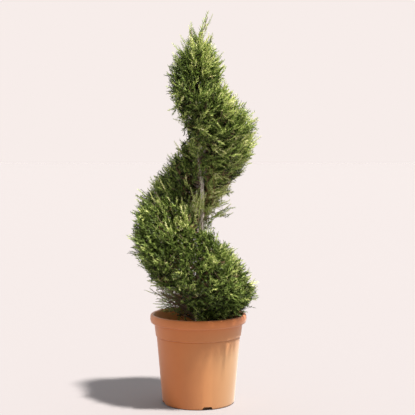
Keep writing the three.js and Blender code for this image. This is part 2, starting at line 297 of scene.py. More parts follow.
def heartOf(turn):
    return min(along("middle", turn), 0.55 * ceilingOf(turn) + 0.45 * floorOf(turn))


# From its flared foot on the compost to its tip inside the crown
trunk = {
    "foot": 0.196,
    "tip": 0.905,
    "footRadius": 10.5 * mm,
    "tipRadius": 2.2 * mm,
    "flare": 5.5 * mm,
    "flareHeight": 26 * mm,
}
# The trunk's middle line, read from the rings of its solid
trunkCorners = {tuple(round(x, 6) for x in v.co) for v in frame["nodes"]["trunk"].data.vertices}
trunkHeights = sorted({z for x, y, z in trunkCorners})
trunkRings = [np.mean([c[:2] for c in trunkCorners if c[2] == z], axis=0) for z in trunkHeights]


def trunkAt(height):
    x, y = (np.interp(height, trunkHeights, [ring[i] for ring in trunkRings]) for i in (0, 1))
    return Vector((x, y, height))


def trunkRadius(height):
    share = clamp((height - trunk["foot"]) / (trunk["tip"] - trunk["foot"]), 0, 1)
    flare = trunk["flare"] * math.exp(-(height - trunk["foot"]) / trunk["flareHeight"])
    return trunk["footRadius"] + (trunk["tipRadius"] - trunk["footRadius"]) * share**0.9 + flare


# A bough's radius grows with the mass it carries, and its foot is lower on the trunk than its tip
bough = {"least": 1.9 * mm, "slender": 75, "low": 0.1, "rise": 0.75, "tapers": (1.25, 1.12, 1, 0.9, 0.5)}


def boughRadius(turn):
    return bough["least"] + along("reach", turn) / bough["slender"]


def boughLine(turn):
    radius = innerOf(turn) - mm - boughRadius(turn)
    height = heartOf(turn) - bough["low"] * (ceilingOf(turn) - floorOf(turn))
    tip = spiralPoint(turn, radius, height)
    foot = trunkAt(height - bough["rise"] * radius)
    return foot, tip, (tip - foot).normalized()


# Limbs and twigs grow here as lines of points with a radius at each, and sprays as rows
limbs = []  # stout ones with bark relief: (points, radii)
twigs = []  # fine ones: (points, radii, tone)
sprays = {}  # for each mass: (root, aim, size, kind, tone)

# Shapes of spray: how many of each, their length, side shoots and how far these reach, in mm
plumes = {
    "full": {"kinds": 6, "length": 46, "shoots": 15, "reach": 12, "width": 1.9, "forks": 1, "twist": 0.9},
    "short": {"kinds": 4, "length": 36, "shoots": 11, "reach": 12.5, "width": 2.0, "forks": 1, "twist": 1.0},
    "long": {"kinds": 4, "length": 68, "shoots": 22, "reach": 11.5, "width": 1.8, "forks": 1, "twist": 0.6},
    "inner": {"kinds": 2, "length": 42, "shoots": 10, "reach": 18, "width": 4.0, "forks": 0, "twist": 1.2},
    "airy": {"kinds": 3, "length": 54, "shoots": 13, "reach": 17, "width": 1.3, "forks": 2, "twist": 0.35},
}
firstKinds = {}
for shape, sizes in plumes.items():
    firstKinds[shape] = sum(plumes[s]["kinds"] for s in firstKinds)


def anyWay(rng):
    return Vector([rng.gauss(0, 1) for _ in range(3)])


def jitter(rng, far):
    return Vector([rng.uniform(-far, far) * mm for _ in range(3)])


def pickKind(shape, rng):
    return firstKinds[shape] + rng.randrange(plumes[shape]["kinds"])


def treeOf(points):
    tree = kdtree.KDTree(len(points))
    for i, point in enumerate(points):
        tree.insert(point, i)
    tree.balance()
    return tree


def curved(start, bend, end, steps):
    shares = [i / steps for i in range(steps + 1)]
    return [start * (1 - s) ** 2 + bend * 2 * s * (1 - s) + end * s * s for s in shares]


def addTwig(start, bend, end, first, last, tone, steps=3):
    points = curved(start, bend, end, steps)
    radii = [first + (last - first) * i / steps for i in range(steps + 1)]
    twigs.append((points, radii, tone))
    return points


def turnOf(point, near):
    turn = math.atan2(-point.y, -point.x) / (2 * math.pi)
    return turn + round(near - turn)


def insideSpace(point, begin, finish, middle):
    turn = turnOf(point, middle)
    reach = math.hypot(point.x, point.y)
    if min(turn - begin, finish - turn) * 2 * math.pi * reach < ribbon["twigClear"]:
        return False
    if reach < innerOf(turn) or reach > massReach(turn, point.z) + ribbon["faceSpray"]:
        return False
    if point.z < potTop + ribbon["potClear"] and reach > potMouth - ribbon["potClear"]:
        return False
    return groundOf(turn) < point.z < skyOf(turn)


def bladePoints(root, tip, across):
    way = tip - root
    length = way.length
    side = (across - way * (across.dot(way) / way.length_squared)).normalized()
    up = way.normalized().cross(side)
    rim = [
        (0, 0, 0), (0.58, 0.2, 0), (0.66, 0.09, 0), (1, 0, 0), (0.66, -0.09, 0), (0.58, -0.2, 0),
        (0.45, 0, 0.045), (0.45, 0, -0.045),
    ]
    return [root + way * a + side * (b * length) + up * (c * length) for a, b, c in rim]


# The branches of one mass, as its solid has them
def branchesOf(index):
    draw = numbersFrom(100 + index)
    begin = ribbon["firstTurn"] + index * ribbon["massTurn"]
    finish = begin + ribbon["massTurn"]
    middle = (begin + finish) / 2
    foot, tip, way = boughLine(middle)
    radius = boughRadius(middle)
    root = tip + way * ribbon["gap"]
    reach = along("reach", middle)
    end = spiralPoint(middle, 0.55 * reach, heartOf(middle))
    limb = [foot, foot.lerp(tip, 0.5), tip, tip + way * 9 * mm, end]
    limbs.append((limb, [radius * taper for taper in bough["tapers"]]))
    isOpen = index >= ribbon["masses"] - ribbon["openMasses"]
    arc = 2 * math.pi * ribbon["massTurn"] * reach
    tall = ceilingOf(middle) - floorOf(middle)
    count = math.floor(arc * tall / ribbon["sprayArea"] + 0.5) + (8 if isOpen else 0)
    branches = []
    for i in range(count):
        turn = begin + ribbon["massTurn"] * (0.1 + 0.8 * ((i * goldenShare + 0.3 * draw()) % 1))
        level = (i + 0.2 + 0.6 * draw()) / count
        low, high = floorOf(turn), ceilingOf(turn)
        height = low + (high - low) * (0.03 + 0.94 * level)
        far = max(massReach(turn, height), innerOf(turn) + 16 * mm)
        stretch = 0.35 + 0.65 * draw() if isOpen else 0.94 + 0.1 * draw()
        sprayTip = spiralPoint(turn, far * stretch, height)
        over = (height - along("middle", turn)) / (0.5 * (high - low))
        lean = 0.5 + 0.9 * over + 0.5 * draw()
        side = turn + 0.05 * (draw() - 0.5)
        length = ribbon["sprayLength"] * (0.8 + 0.4 * draw())
        across = Vector([draw() - 0.5 for _ in range(3)])
        fork = root.lerp(end, 0.25 + 0.7 * draw())
        for flatter in leaning["flatter"]:
            aim = aimed(side, lean - flatter)
            sprayRoot = sprayTip - aim * length
            start, *others = bladePoints(sprayRoot, sprayTip, across)
            steps = (0.2, 0.4, 0.6, 0.8, 1)
            if all(insideSpace(start.lerp(p, s), begin, finish, middle) for p in others for s in steps):
                branches.append((fork, sprayRoot, sprayTip, aim, radius * 0.45))
                break
    return branches, begin, middle, isOpen


# Room that sprays keep from the trunk, the pot's rim and wall and the compost, and past the solids' box
room = {"trunk": 14 * mm, "rim": 2 * mm, "wall": 5 * mm, "compost": 3 * mm, "box": 4 * mm}


def clearOfPot(point):
    reach = math.hypot(point.x, point.y)
    if point.z > potTop + room["rim"]:
        return True
    return reach < potMouth - room["wall"] and point.z > compostTop - room["compost"]


def insideBox(point):
    low, high = cadBounds
    spares = (room["box"], room["box"], 0)
    return all(low[i] - room["box"] < point[i] < high[i] + spares[i] for i in range(3))


# Where the viewer sees the trunk between two turns of the ribbon, and the sky low on the left, with no
# sprays before them: x, z, half width and half height in mm
windows = [(5, 556, 10, 16), (13, 540, 9, 14), (-86, 279, 40, 29)]


def inWindow(point):
    x, z = point.x / mm, point.z / mm
    inside = [math.hypot((x - a) / wide, (z - b) / tall) < 1 for a, b, wide, tall in windows]
    return point.y < 0 and any(inside)


def isFree(points, root, clearance):
    if not all(clearOfPot(p) and insideBox(p) and not inWindow(p) for p in points):
        return False
    return root.z >= trunk["tip"] or min((p - trunkAt(p.z)).length for p in points) >= clearance


# A single spray's twig in mm: how far back it joins a branch, its bend at most, how far it runs into the
# spray, and its radii
sprayTwig = {"back": 14, "bend": 16, "into": 3, "radii": (0.7, 0.5)}


def addSpray(rows, tree, tip, aim, size, shape, tone, rng, clearance=room["trunk"]):
    length = plumes[shape]["length"] * mm * size
    root = tip - aim * length
    if not isFree([root, root.lerp(tip, 0.5), tip], root, clearance):
        return False
    place = tree.find(root - aim * sprayTwig["back"] * mm)[0]
    away = (root - place).length
    if away > 1 * mm:
        bend = root - aim * min(0.5 * away, sprayTwig["bend"] * mm) + jitter(rng, 2)
        first, last = (radius * mm for radius in sprayTwig["radii"])
        addTwig(place, bend, root + aim * sprayTwig["into"] * mm, first, last, 1)
    rows.append((root, aim, size, pickKind(shape, rng), clamp(round(tone), 0, 3)))
    return True


# Swellings and hollows of the clipped surface, and how much lighter or darker they are: painted light
# on the swellings, painted shade in the hollows
relief = {"height": 7 * mm, "size": 34 * mm, "tone": 0.8}


def reliefAt(point):
    return noise.noise(point / relief["size"]) * 1.4


# Patches of painted light and shade as the viewer sees them: x, z and radius in mm, and how much lighter
paintedLightPatches = [
    (26, 935, 46, 1.2), (-50, 862, 48, -1.4), (10, 778, 36, -1.1), (-24, 738, 34, 0.8),
    (60, 775, 34, -0.5), (76, 664, 32, 0.3), (26, 706, 32, -0.9), (104, 704, 26, -1.3),
    (-30, 646, 30, 1.5), (24, 618, 40, -1.7), (134, 654, 22, 1.3), (98, 574, 40, 1.6),
    (-104, 572, 46, 0.9), (-47, 565, 36, -1.3), (34, 508, 46, 1.9), (-45, 512, 34, 0.8),
    (-158, 380, 32, 1.8), (6, 428, 42, -0.9), (84, 284, 46, -2.0), (25, 290, 44, -0.7),
    (-76, 302, 28, 1.0), (-128, 470, 34, -0.8), (-102, 508, 22, 1.2), (-30, 472, 36, -0.7),
    (-16, 410, 26, -0.9), (-108, 396, 30, -1.6), (130, 694, 20, 1.4), (12, 715, 26, -0.6),
    (80, 638, 24, -0.6),
]
sunlit = {"from": 0.55, "right": 0.4, "front": 0.2}  # lighter above this height, and towards the sun


# Painted light and shade: how much lighter the sprays are higher up, towards the sun and in the patches
def toneAt(place, outward):
    paintedPatchTone = 0
    for x, z, radius, tone in paintedLightPatches:
        paintedPatchTone += tone * math.exp(-((place.x / mm - x) ** 2 + (place.z / mm - z) ** 2) / radius**2)
    sunTone = place.z - sunlit["from"] + sunlit["right"] * outward.x - sunlit["front"] * outward.y
    return sunTone + relief["tone"] * reliefAt(place) + paintedPatchTone


# The outermost sprays fan out in tufts, each from the end of a twig under the surface. Its twig in mm: how
# far back it joins a branch, its bend, how far it runs into the sprays, and its radii
tufts = {
    "spacing": 26 * mm,
    "sprays": (4, 7),
    "depth": 48 * mm,
    "fan": 0.9,
    "size": (0.8, 1.12),
    "tone": 1.6,
    "spread": 0.8,
    "twig": {"back": 16, "bend": 3, "into": 2, "radii": (0.9, 0.6)},
}


def addTuft(rows, tree, place, axis, small, rng, clearance=room["trunk"]):
    base = place + axis * (relief["height"] * reliefAt(place) - tufts["depth"] * small)
    twig = tufts["twig"]
    near = tree.find(base - axis * twig["back"] * mm)[0]
    bend = base.lerp(near, 0.5) - axis * twig["bend"] * mm
    tone = tufts["tone"] + toneAt(place, axis) + rng.gauss(0, tufts["spread"])
    started = False
    for _ in range(rng.randint(*tufts["sprays"])):
        side = axis.cross(anyWay(rng)).normalized()
        swing = tufts["fan"] * math.sqrt(rng.random())
        aim = (axis + side * swing).normalized()
        size = small * rng.uniform(*tufts["size"]) * (1.08 - 0.25 * swing)
        tip = base + aim * plumes["full"]["length"] * mm * size
        if not isFree([base.lerp(tip, 0.15), base.lerp(tip, 0.5), tip], base, clearance):
            continue
        if not started:
            first, last = (radius * mm for radius in twig["radii"])
            addTwig(near, bend, base + axis * twig["into"] * mm, first, last, 0)
            started = True
        kind = pickKind("full", rng)
        shade = tone - 0.8 * swing + rng.gauss(0, 0.5)
        rows.append((base, aim, size, kind, clamp(round(shade), 0, 3)))
    return started


# Where the shears went deeper than the rule, or less deep: turn, height and depth in mm
clips = [
    (0.5, 602, 22), (1.5, 362, 17), (1.5, 300, 8), (1.0, 358, 12),
    (0.62, 560, 8), (0.92, 575, 8), (1.42, 262, -13), (1.33, 285, -17),
]
clipSpread = {"turn": 0.13, "height": 42}


def clippedAt(turn, height):
    deep = 0
    for clipTurn, clipHeight, depth in clips:
        aside = (turn - clipTurn) / clipSpread["turn"]
        over = (height / mm - clipHeight) / clipSpread["height"]
        deep += depth * math.exp(-(aside**2) - over**2)
    return mm * deep


# The lowest and highest place of the clipped surface at a turn, and its least reach
def massSpan(turn):
    return floorOf(turn), ceilingOf(turn), innerOf(turn)


def crownSpan(turn):
    return crown["base"] - 4 * mm, crown["top"] - 2 * mm, 1 * mm


profileSteps = 41  # along the clipped surface, from its lowest place to its highest


# Places of sprays, evenly over the clipped surface between two turns
def surfacePlaces(begin, stretch, reachOf, spanOf, spacing, rng):
    places = []
    widest = max(along("reach", begin + stretch * s) for s in (0, 0.5, 1)) if stretch < 1 else crown["radius"]
    columns = max(3, round(2 * math.pi * stretch * widest / spacing))
    for column in range(columns):
        turn = begin + stretch * (column + rng.random()) / columns
        low, high, least = spanOf(turn)
        heights = np.linspace(low, high, profileSteps)
        radii = [max(reachOf(turn, h), least) for h in heights]
        arcs = np.concatenate([[0], np.cumsum(np.hypot(np.diff(heights), np.diff(radii)))])
        offset = rng.random()
        for i in range(int(arcs[-1] / spacing)):
            at = (i + offset + rng.uniform(-0.3, 0.3)) * spacing
            height = float(np.interp(at, arcs, heights))
            reach = float(np.interp(at, arcs, radii))
            if reach > least * 1.02 and rng.random() < reach / widest * 1.15:
                places.append((turn, reach - clippedAt(turn, height), height))
    return places


# Layers of sprays from the inside out: spacing, how far under the clipped surface, and tones, darker
# inside as painted shade
layers = [
    {"shape": "inner", "spacing": 22 * mm, "inset": (30 * mm, 58 * mm), "tone": -0.6, "spread": 0.35},
    {"shape": "short", "spacing": 16 * mm, "inset": (8 * mm, 26 * mm), "tone": 0.0, "spread": 0.7},
    {"shape": "long", "spacing": 34 * mm, "inset": (-10 * mm, 4 * mm), "tone": 1.7, "spread": 0.5},
]
covered = 7 * mm  # how far under the clipped surface the inner sprays stay


def growMass(index):
    rng = random.Random(500 + index)
    branches, begin, middle, isOpen = branchesOf(index)
    rows = []
    paths = []
    for fork, sprayRoot, sprayTip, aim, thick in branches:
        bend = fork.lerp(sprayRoot, 0.55) - Vector((0, 0, 4 * mm)) + aim * 4 * mm
        inner = addTwig(fork, bend, sprayRoot, 0.8 * thick, 0.9 * mm, 0, 5)
        bend = sprayRoot.lerp(sprayTip, 0.5) + jitter(rng, 4)
        outer = addTwig(sprayRoot, bend, sprayRoot.lerp(sprayTip, 0.72), 0.9 * mm, 0.6 * mm, 0)
        paths.append(inner[2:] + outer)
    tree = treeOf([point for path in paths for point in path])
    for path in paths:
        for _ in range(4 if isOpen else 1):
            pick = rng.randrange(3, len(path)) if isOpen else rng.randrange(1, len(path) - 2)
            ahead = (path[min(pick + 1, len(path) - 1)] - path[pick - 1]).normalized()
            aim = (ahead + 0.75 * anyWay(rng).normalized()).normalized()
            size = rng.uniform(0.6, 0.95)
            shape = rng.choice(("full", "short", "short")) if isOpen else "inner"
            tone = rng.uniform(0.6, 2.2) if isOpen else 0
            tip = path[pick] + aim * plumes[shape]["length"] * mm * size
            if isOpen or all(underSurface(middle, p, covered) for p in (path[pick], tip)):
                addSpray(rows, tree, tip, aim, size, shape, tone, rng, 18 * mm)
    if isOpen:
        growLoose(rows, begin, rng)
    else:
        for layer in (*layers, tufts):
            places = surfacePlaces(begin, ribbon["massTurn"], massReach, massSpan, layer["spacing"], rng)
            for turn, reach, height in places:
                if isKept(turn, height, rng):
                    grow = growTuft if layer is tufts else growOut
                    grow(rows, tree, turn, reach, height, layer, rng)
        growHollow(rows, tree, begin, rng)
        growFringe(rows, tree, begin, rng)
    growSkirt(rows, tree, begin, rng)
    sprays[f"{index + 1:02d}"] = rows


# The open mass: loose branches from low on the trunk, bare and brown with sky between them, and a few
# sprays at their ends. Their reach and how high they end are in mm
loose = {
    "count": 26,
    "reach": (56, 124),
    "foot": (208, 262),
    "top": (248, 320),
    "steps": 8,
    "sides": 6,
    "side": (10, 26),
    "leafy": 0.6,  # share of the side twigs that end in a spray
    "size": (0.5, 0.8),
    "levels": (0.25, 0.29),  # at these heights, in metres,
    "limits": (0.106, 0.131),  # no side twig ends further out than this
}


def growLoose(rows, begin, rng):
    for i in range(loose["count"]):
        turn = begin + ribbon["massTurn"] * (i + rng.random()) / loose["count"]
        foot = trunkAt(rng.uniform(*loose["foot"]) * mm)
        end = spiralPoint(turn, rng.uniform(*loose["reach"]) * mm, rng.uniform(*loose["top"]) * mm)
        bend = foot.lerp(end, 0.55) + jitter(rng, 9)
        if not all(clearOfPot(p) and insideBox(p) for p in curved(foot, bend, end, loose["steps"])[2:]):
            continue
        path = addTwig(foot, bend, end, 1.9 * mm, 0.7 * mm, 0, loose["steps"])
        for _ in range(loose["sides"]):
            pick = rng.randrange(3, loose["steps"])
            ahead = (path[pick + 1] - path[pick]).normalized()
            side = ahead.cross(anyWay(rng)).normalized()
            aim = (ahead + rng.uniform(0.5, 1.2) * side + Vector((0, 0, rng.uniform(-0.1, 0.5)))).normalized()
            twigEnd = path[pick] + aim * rng.uniform(*loose["side"]) * mm
            tip = twigEnd + aim * 26 * mm
            if not all(clearOfPot(p) and insideBox(p) for p in (twigEnd, tip)):
                continue
            if math.hypot(tip.x, tip.y) > np.interp(tip.z, loose["levels"], loose["limits"]):
                continue
            middle = path[pick].lerp(twigEnd, 0.5) + side * 3 * mm
            addTwig(path[pick], middle, twigEnd, 0.9 * mm, 0.5 * mm, 1)
            if rng.random() < loose["leafy"]:
                kind = pickKind("airy", rng)
                size = rng.uniform(*loose["size"])
                rows.append((twigEnd - aim * 6 * mm, aim, size, kind, rng.choice((1, 1, 2, 2))))


# Shaded sprays that close a mass off on the side towards the trunk
hollow = {
    "spacing": 19 * mm,
    "depth": (14 * mm, 40 * mm),  # from the ribbon's inner side
    "out": 20,  # how far a tip stands out from its place, in mm
    "size": (0.7, 1.0),
    "tone": -0.5,
    "edge": 75 * mm,  # near the free lower edge they are lighter, by up to edgeTone
    "edgeTone": 2.6,
}


def growHollow(rows, tree, begin, rng):
    middle = begin + ribbon["massTurn"] / 2
    low, high = floorOf(middle), ceilingOf(middle)
    arc = 2 * math.pi * ribbon["massTurn"] * (innerOf(middle) + hollow["depth"][1])
    for _ in range(round(arc * (high - low) / hollow["spacing"] ** 2)):
        turn = begin + ribbon["massTurn"] * rng.random()
        height = floorOf(turn) + (ceilingOf(turn) - floorOf(turn)) * rng.random()
        deepest = massReach(turn, height) - hollow["out"] * mm
        reach = min(innerOf(turn) + rng.uniform(*hollow["depth"]), deepest)
        if reach < innerOf(turn) or not isKept(turn, height, rng):
            continue
        aim = aimed(turn + rng.uniform(-0.2, 0.2), rng.uniform(-0.2, 1.6))
        tip = spiralPoint(turn, reach, height) + aim * hollow["out"] * mm
        nearEdge = max(0, 1 - (height - bottomOf(turn)) / hollow["edge"])
        shape = "short" if rng.random() < nearEdge else "inner"
        backs = [tip - aim * back * mm for back in (0, 35)]
        if shape == "inner" and not all(underSurface(turn, p, covered) for p in backs):
            continue
        size = rng.uniform(*hollow["size"])
        # Near the free lower edge the shaded sprays are painted lighter, painted light from below
        tone = hollow["tone"] + hollow["edgeTone"] * nearEdge + rng.gauss(0, 0.4) + 0.6 * toneAt(tip, aim)
        addSpray(rows, tree, tip, aim, size, shape, tone, rng)


# Sprays that hang in the pot's mouth, under the turns near it
skirt = {
    "count": 16,
    "openFrom": 1.6,  # from this turn on there are fewer
    "fewer": 1,
    "nearPot": 40 * mm,
    "over": 10 * mm,  # tips stand at least this far over the compost
    "into": 15 * mm,  # and at most this far up into the ribbon
    "reach": (0.35, 0.85),
    "size": (0.6, 0.9),
    "tone": (-0.2, 1.6),
}


def growSkirt(rows, tree, begin, rng):
    for _ in range(skirt["count"] if begin < skirt["openFrom"] else skirt["fewer"]):
        turn = begin + ribbon["massTurn"] * rng.random()
        if turn + 1 <= lastTurn or bottomOf(turn) > potTop + skirt["nearPot"]:
            continue
        reach = rng.uniform(*skirt["reach"]) * min(along("reach", turn), potMouth)
        low = compostTop + skirt["over"]
        height = low + (bottomOf(turn) + skirt["into"] - low) * rng.random()
        if not isKept(turn, height, rng):
            continue
        aim = aimed(turn + rng.uniform(-0.1, 0.1), rng.uniform(-0.1, 0.7))
        shape = rng.choice(("short", "full"))
        tip = spiralPoint(turn, reach, height)
        addSpray(rows, tree, tip, aim, rng.uniform(*skirt["size"]), shape, rng.uniform(*skirt["tone"]), rng)


# Low on the left the plant is thin, and the sky shows between its twigs
thinned = {
    "under": 0.33,  # the height where it begins
    "fade": 0.018,
    "turn": 0.24,  # how far it goes to both sides of the left
    "edge": 10,  # and how sharply it ends there
    "share": 0.98,  # of the sprays, that aren't kept
}


def isKept(turn, height, rng):
    fromLeft = abs(turn - round(turn)) / thinned["turn"]
    low = clamp((thinned["under"] - height) / thinned["fade"], 0, 1)
    return rng.random() > thinned["share"] * low * math.exp(-(fromLeft ** thinned["edge"]))


# Which way growth points: steeper above the ribbon's middle, and a flatter way where that doesn't fit
leaning = {"middle": 0.5, "edge": 0.75, "spread": (-0.35, 0.85), "flatter": (0, 0.7, 1.4)}


# Ways to grow at a place of the clipped surface, the steepest first
def aimsAt(turn, height, rng):
    over = (height - along("middle", turn)) / (0.5 * (ceilingOf(turn) - floorOf(turn)))
    lean = leaning["middle"] + leaning["edge"] * clamp(over, -1.0, 1.0) + rng.uniform(*leaning["spread"])
    side = turn + rng.uniform(-0.13, 0.13)
    return [aimed(side, lean - flatter) for flatter in leaning["flatter"]]


def growOut(rows, tree, turn, reach, height, layer, rng):
    place = spiralPoint(turn, reach, height)
    size = rng.uniform(0.8, 1.15)
    push = relief["height"] * reliefAt(place) - rng.uniform(*layer["inset"])
    spread = rng.gauss(0, layer["spread"])
    for aim in aimsAt(turn, height, rng):
        tone = layer["tone"] + toneAt(place, aim) + spread
        tip = place + aim * push
        if not underSurface(turn, tip - aim * 0.8 * size * plumes[layer["shape"]]["length"] * mm):
            continue
        if addSpray(rows, tree, tip, aim, size, layer["shape"], tone, rng):
            break


def growTuft(rows, tree, turn, reach, height, layer, rng):
    place = spiralPoint(turn, reach, height)
    for axis in aimsAt(turn, height, rng):
        base = place - axis * 0.8 * layer["depth"]
        if underSurface(turn, base) and addTuft(rows, tree, place, axis, 1, rng):
            break


# Sprays start under the clipped surface, so that none hangs below the ribbon by its root
def underSurface(near, root, depth=0):
    return math.hypot(root.x, root.y) + depth < massReach(turnOf(root, near), root.z)


# Sprays past the ribbon's free lower edge
fringe = {
    "spacing": 9 * mm,
    "past": 24 * mm,  # how far below the edge they end at most
    "above": 20 * mm,  # and how far above it
    "reach": (0.2, 0.68),  # share of the ribbon's reach
    "size": (0.7, 1.0),
    "tone": (0.8, 2.4),
}


def growFringe(rows, tree, begin, rng):
    count = round(2 * math.pi * ribbon["massTurn"] * along("reach", begin) / fringe["spacing"])
    for i in range(count):
        turn = begin + ribbon["massTurn"] * (i + rng.random()) / count
        if floorOf(turn) != bottomOf(turn) or bottomOf(turn) < potTop + skirt["nearPot"]:
            continue
        reach = rng.uniform(*fringe["reach"]) * along("reach", turn)
        low = max(groundOf(turn), bottomOf(turn) - fringe["past"])
        above = fringe["above"]
        height = bottomOf(turn) + above + (low - bottomOf(turn) - above) * rng.random()
        aim = aimed(turn + rng.uniform(-0.08, 0.08), rng.uniform(-0.3, 0.5))
        tip = spiralPoint(turn, reach, height)
        size = rng.uniform(*fringe["size"])
        tone = rng.uniform(*fringe["tone"]) + toneAt(tip, aim)
        addSpray(rows, tree, tip, aim, size, "full", tone, rng)


# Shoots that stand out of the crown, the leader first: foot and end, and the sprays along each
crownFork = Vector((0.005, 0.002, 0.935))
shootSprays = {"count": 10, "from": 0.05, "step": 0.07, "size": 0.62, "smaller": 0.03}
crownShoots = [
    (crownFork, Vector((0.030, 0.004, 1.009))),
    (Vector((-0.013, -0.002, 0.920)), Vector((-0.021, -0.003, 0.976))),
    (Vector((0.022, 0.002, 0.905)), Vector((0.040, 0.002, 0.956))),
]


def growCrown():
    rng = random.Random(77)
    rows = []
    axis = [trunkAt(height) for height in np.linspace(0.80, trunk["tip"], 12)]
    top = addTwig(axis[-1], axis[-1].lerp(crownFork, 0.6), crownFork, trunk["tipRadius"], 1.7 * mm, 0, 4)
    tree = treeOf(axis + top)
    lean, steeper = crown["lean"]
    outFlatter, inFlatter = crown["flatter"]
    for layer in (*layers, tufts):
        spacing = layer["spacing"] * crown["closer"]
        for turn, reach, height in surfacePlaces(0, 1, crownReach, crownSpan, spacing, rng):
            share = (height - crown["base"]) / (crown["top"] - crown["base"])
            place = spiralPoint(turn, reach, height)
            side = turn + rng.uniform(-0.06, 0.06)
            aim = aimed(side, lean + steeper * share + rng.uniform(-0.3, 0.5))
            if layer is tufts:
                addTuft(rows, tree, place, aim, crown["tuftSize"], rng, crown["trunkClear"])
                continue
            tone = layer["tone"] + toneAt(place, aim) + rng.gauss(0, layer["spread"])
            push = outFlatter * relief["height"] * reliefAt(place) - inFlatter * rng.uniform(*layer["inset"])
            size = rng.uniform(*crown["size"])
            tip = place + aim * push
            addSpray(rows, tree, tip, aim, size, layer["shape"], tone, rng, crown["trunkClear"])
    for foot, end in crownShoots:
        start = foot.lerp(end, -0.15)
        way = (end - start).normalized()
        size = (end - start).length / (plumes["long"]["length"] * mm)
        addTwig(start, start.lerp(end, 0.5), start.lerp(end, 0.8), 1.4 * mm, 0.6 * mm, 1, 4)
        rows.append((start, way, size, firstKinds["long"], 2))
        for i in range(shootSprays["count"]):
            side = rng.choice((-1, 1)) * rng.uniform(0.15, 0.4)
            aim = (way + Vector((side, rng.uniform(-0.4, 0.4), 0))).normalized()
            kind = pickKind("short", rng)
            place = start.lerp(end, shootSprays["from"] + shootSprays["step"] * i)
            size = shootSprays["size"] - shootSprays["smaller"] * i
            rows.append((place, aim, size, kind, rng.choice((2, 2, 3))))
    growStrays(rows, rng)
    growVeils(rows, rng)
    sprays["crown"] = rows


# Single shoots that the shears missed, foot and tip in mm
strays = [
    ((21, 3, 966), (36, 3, 1001)), ((10, 2, 936), (22, 0, 974)), ((4, 2, 938), (13, 0, 970)),
    ((-19, -3, 926), (-24, -4, 968)), ((-14, -3, 928), (-18, -5, 972)),
    ((-30, -5, 868), (-67, -8, 920)), ((-34, -15, 850), (-64, -20, 903)),
    ((-24, 0, 892), (-47, 0, 942)), ((-36, -10, 835), (-72, -12, 880)), ((34, -5, 862), (66, -8, 903)),
    ((24, 0, 868), (49, -3, 909)), ((36, -8, 826), (69, -10, 862)), ((-18, -20, 716), (-66, -24, 731)),
    ((96, -10, 655), (155, -12, 686)), ((-24, 20, 632), (-62, 22, 680)),
    ((-42, 16, 598), (-80, 18, 646)), ((-80, 12, 548), (-106, 14, 590)),
    ((-118, 0, 505), (-156, -2, 549)), ((-92, 6, 322), (-138, 8, 340)),
    ((-85, -4, 306), (-132, -6, 318)), ((-95, -8, 280), (-137, -12, 295)),
    ((-72, -18, 256), (-116, -22, 259)), ((100, 4, 648), (158, 2, 690)), ((36, 12, 505), (80, 10, 518)),
    ((18, 8, 466), (82, 8, 514)), ((16, 6, 482), (74, 8, 522)), ((20, 0, 455), (66, 4, 494)),
    ((10, -14, 470), (30, -16, 522)), ((8, -18, 486), (24, -20, 540)), ((14, -8, 492), (48, -10, 536)),
    ((-8, -26, 506), (16, -30, 550)), ((2, -26, 490), (14, -30, 530)), ((-4, -24, 522), (8, -28, 562)),
    ((-16, 30, 530), (-8, 30, 585)), ((-4, -30, 500), (4, -32, 550)), ((2, -30, 486), (9, -32, 530)),
    ((-22, -36, 480), (-4, -40, 542)), ((-8, -40, 468), (3, -40, 532)), ((0, -42, 480), (6, -40, 540)),
    ((-14, -38, 492), (-3, -42, 552)), ((24, 2, 452), (40, 4, 500)), ((-40, -30, 488), (-30, -34, 552)),
    ((-58, -48, 480), (-74, -54, 532)), ((-50, -50, 486), (-52, -58, 540)),
    ((-30, -46, 490), (-40, -52, 536)), ((-12, -38, 506), (-22, -42, 556)),
    ((6, -32, 496), (11, -36, 546)), ((-2, -30, 502), (20, -34, 542)), ((14, -30, 494), (6, -34, 550)),
]


def growStrays(rows, rng):
    for foot, end in strays:
        start, tip = Vector(foot) * mm, Vector(end) * mm
        # Strays in front take the lightest tone, the others often one darker as painted shade
        tone = 3 if start.y < -30 * mm else rng.choice((2, 2, 3))
        size = (tip - start).length / (plumes["long"]["length"] * mm)
        aim = (tip - start).normalized()
        addTwig(start - aim * 12 * mm, start, start + aim * 10 * mm, 1.1 * mm, 0.8 * mm, 0)
        rows.append((start, aim, size, pickKind("long", rng), tone))


# Shaded sprays that hide the trunk over its open stretch, and the sky behind it: their places in mm
veils = [
    {"count": 48, "x": (-15, 15), "y": (-30, -18), "z": (562, 688), "tones": (0, 1, 1, 2)},
    {"count": 14, "x": (-26, -4), "y": (14, 36), "z": (535, 605), "tones": (0, 0, 1)},
]


def growVeils(rows, rng):
    for veil in veils:
        for _ in range(veil["count"]):
            start = Vector([rng.uniform(*veil[axis]) * mm for axis in "xyz"])
            away = math.copysign(rng.uniform(0.1, 0.6), start.y)
            aim = Vector((rng.uniform(-0.5, 0.5), away, rng.uniform(0.2, 1))).normalized()
            near = trunkAt(start.z - 14 * mm)
            bend = near.lerp(start, 0.5) - Vector((0, 0, 4 * mm))
            addTwig(near, bend, start + aim * 3 * mm, 1.1 * mm, 0.7 * mm, 0)
            kind = pickKind("short", rng)
            rows.append((start, aim, rng.uniform(0.6, 0.95), kind, rng.choice(veil["tones"])))


for index in range(ribbon["masses"]):
    growMass(index)
growCrown()
print("grown:", len(limbs), "limbs,", len(twigs), "twigs and", sum(map(len, sprays.values())), "sprays")

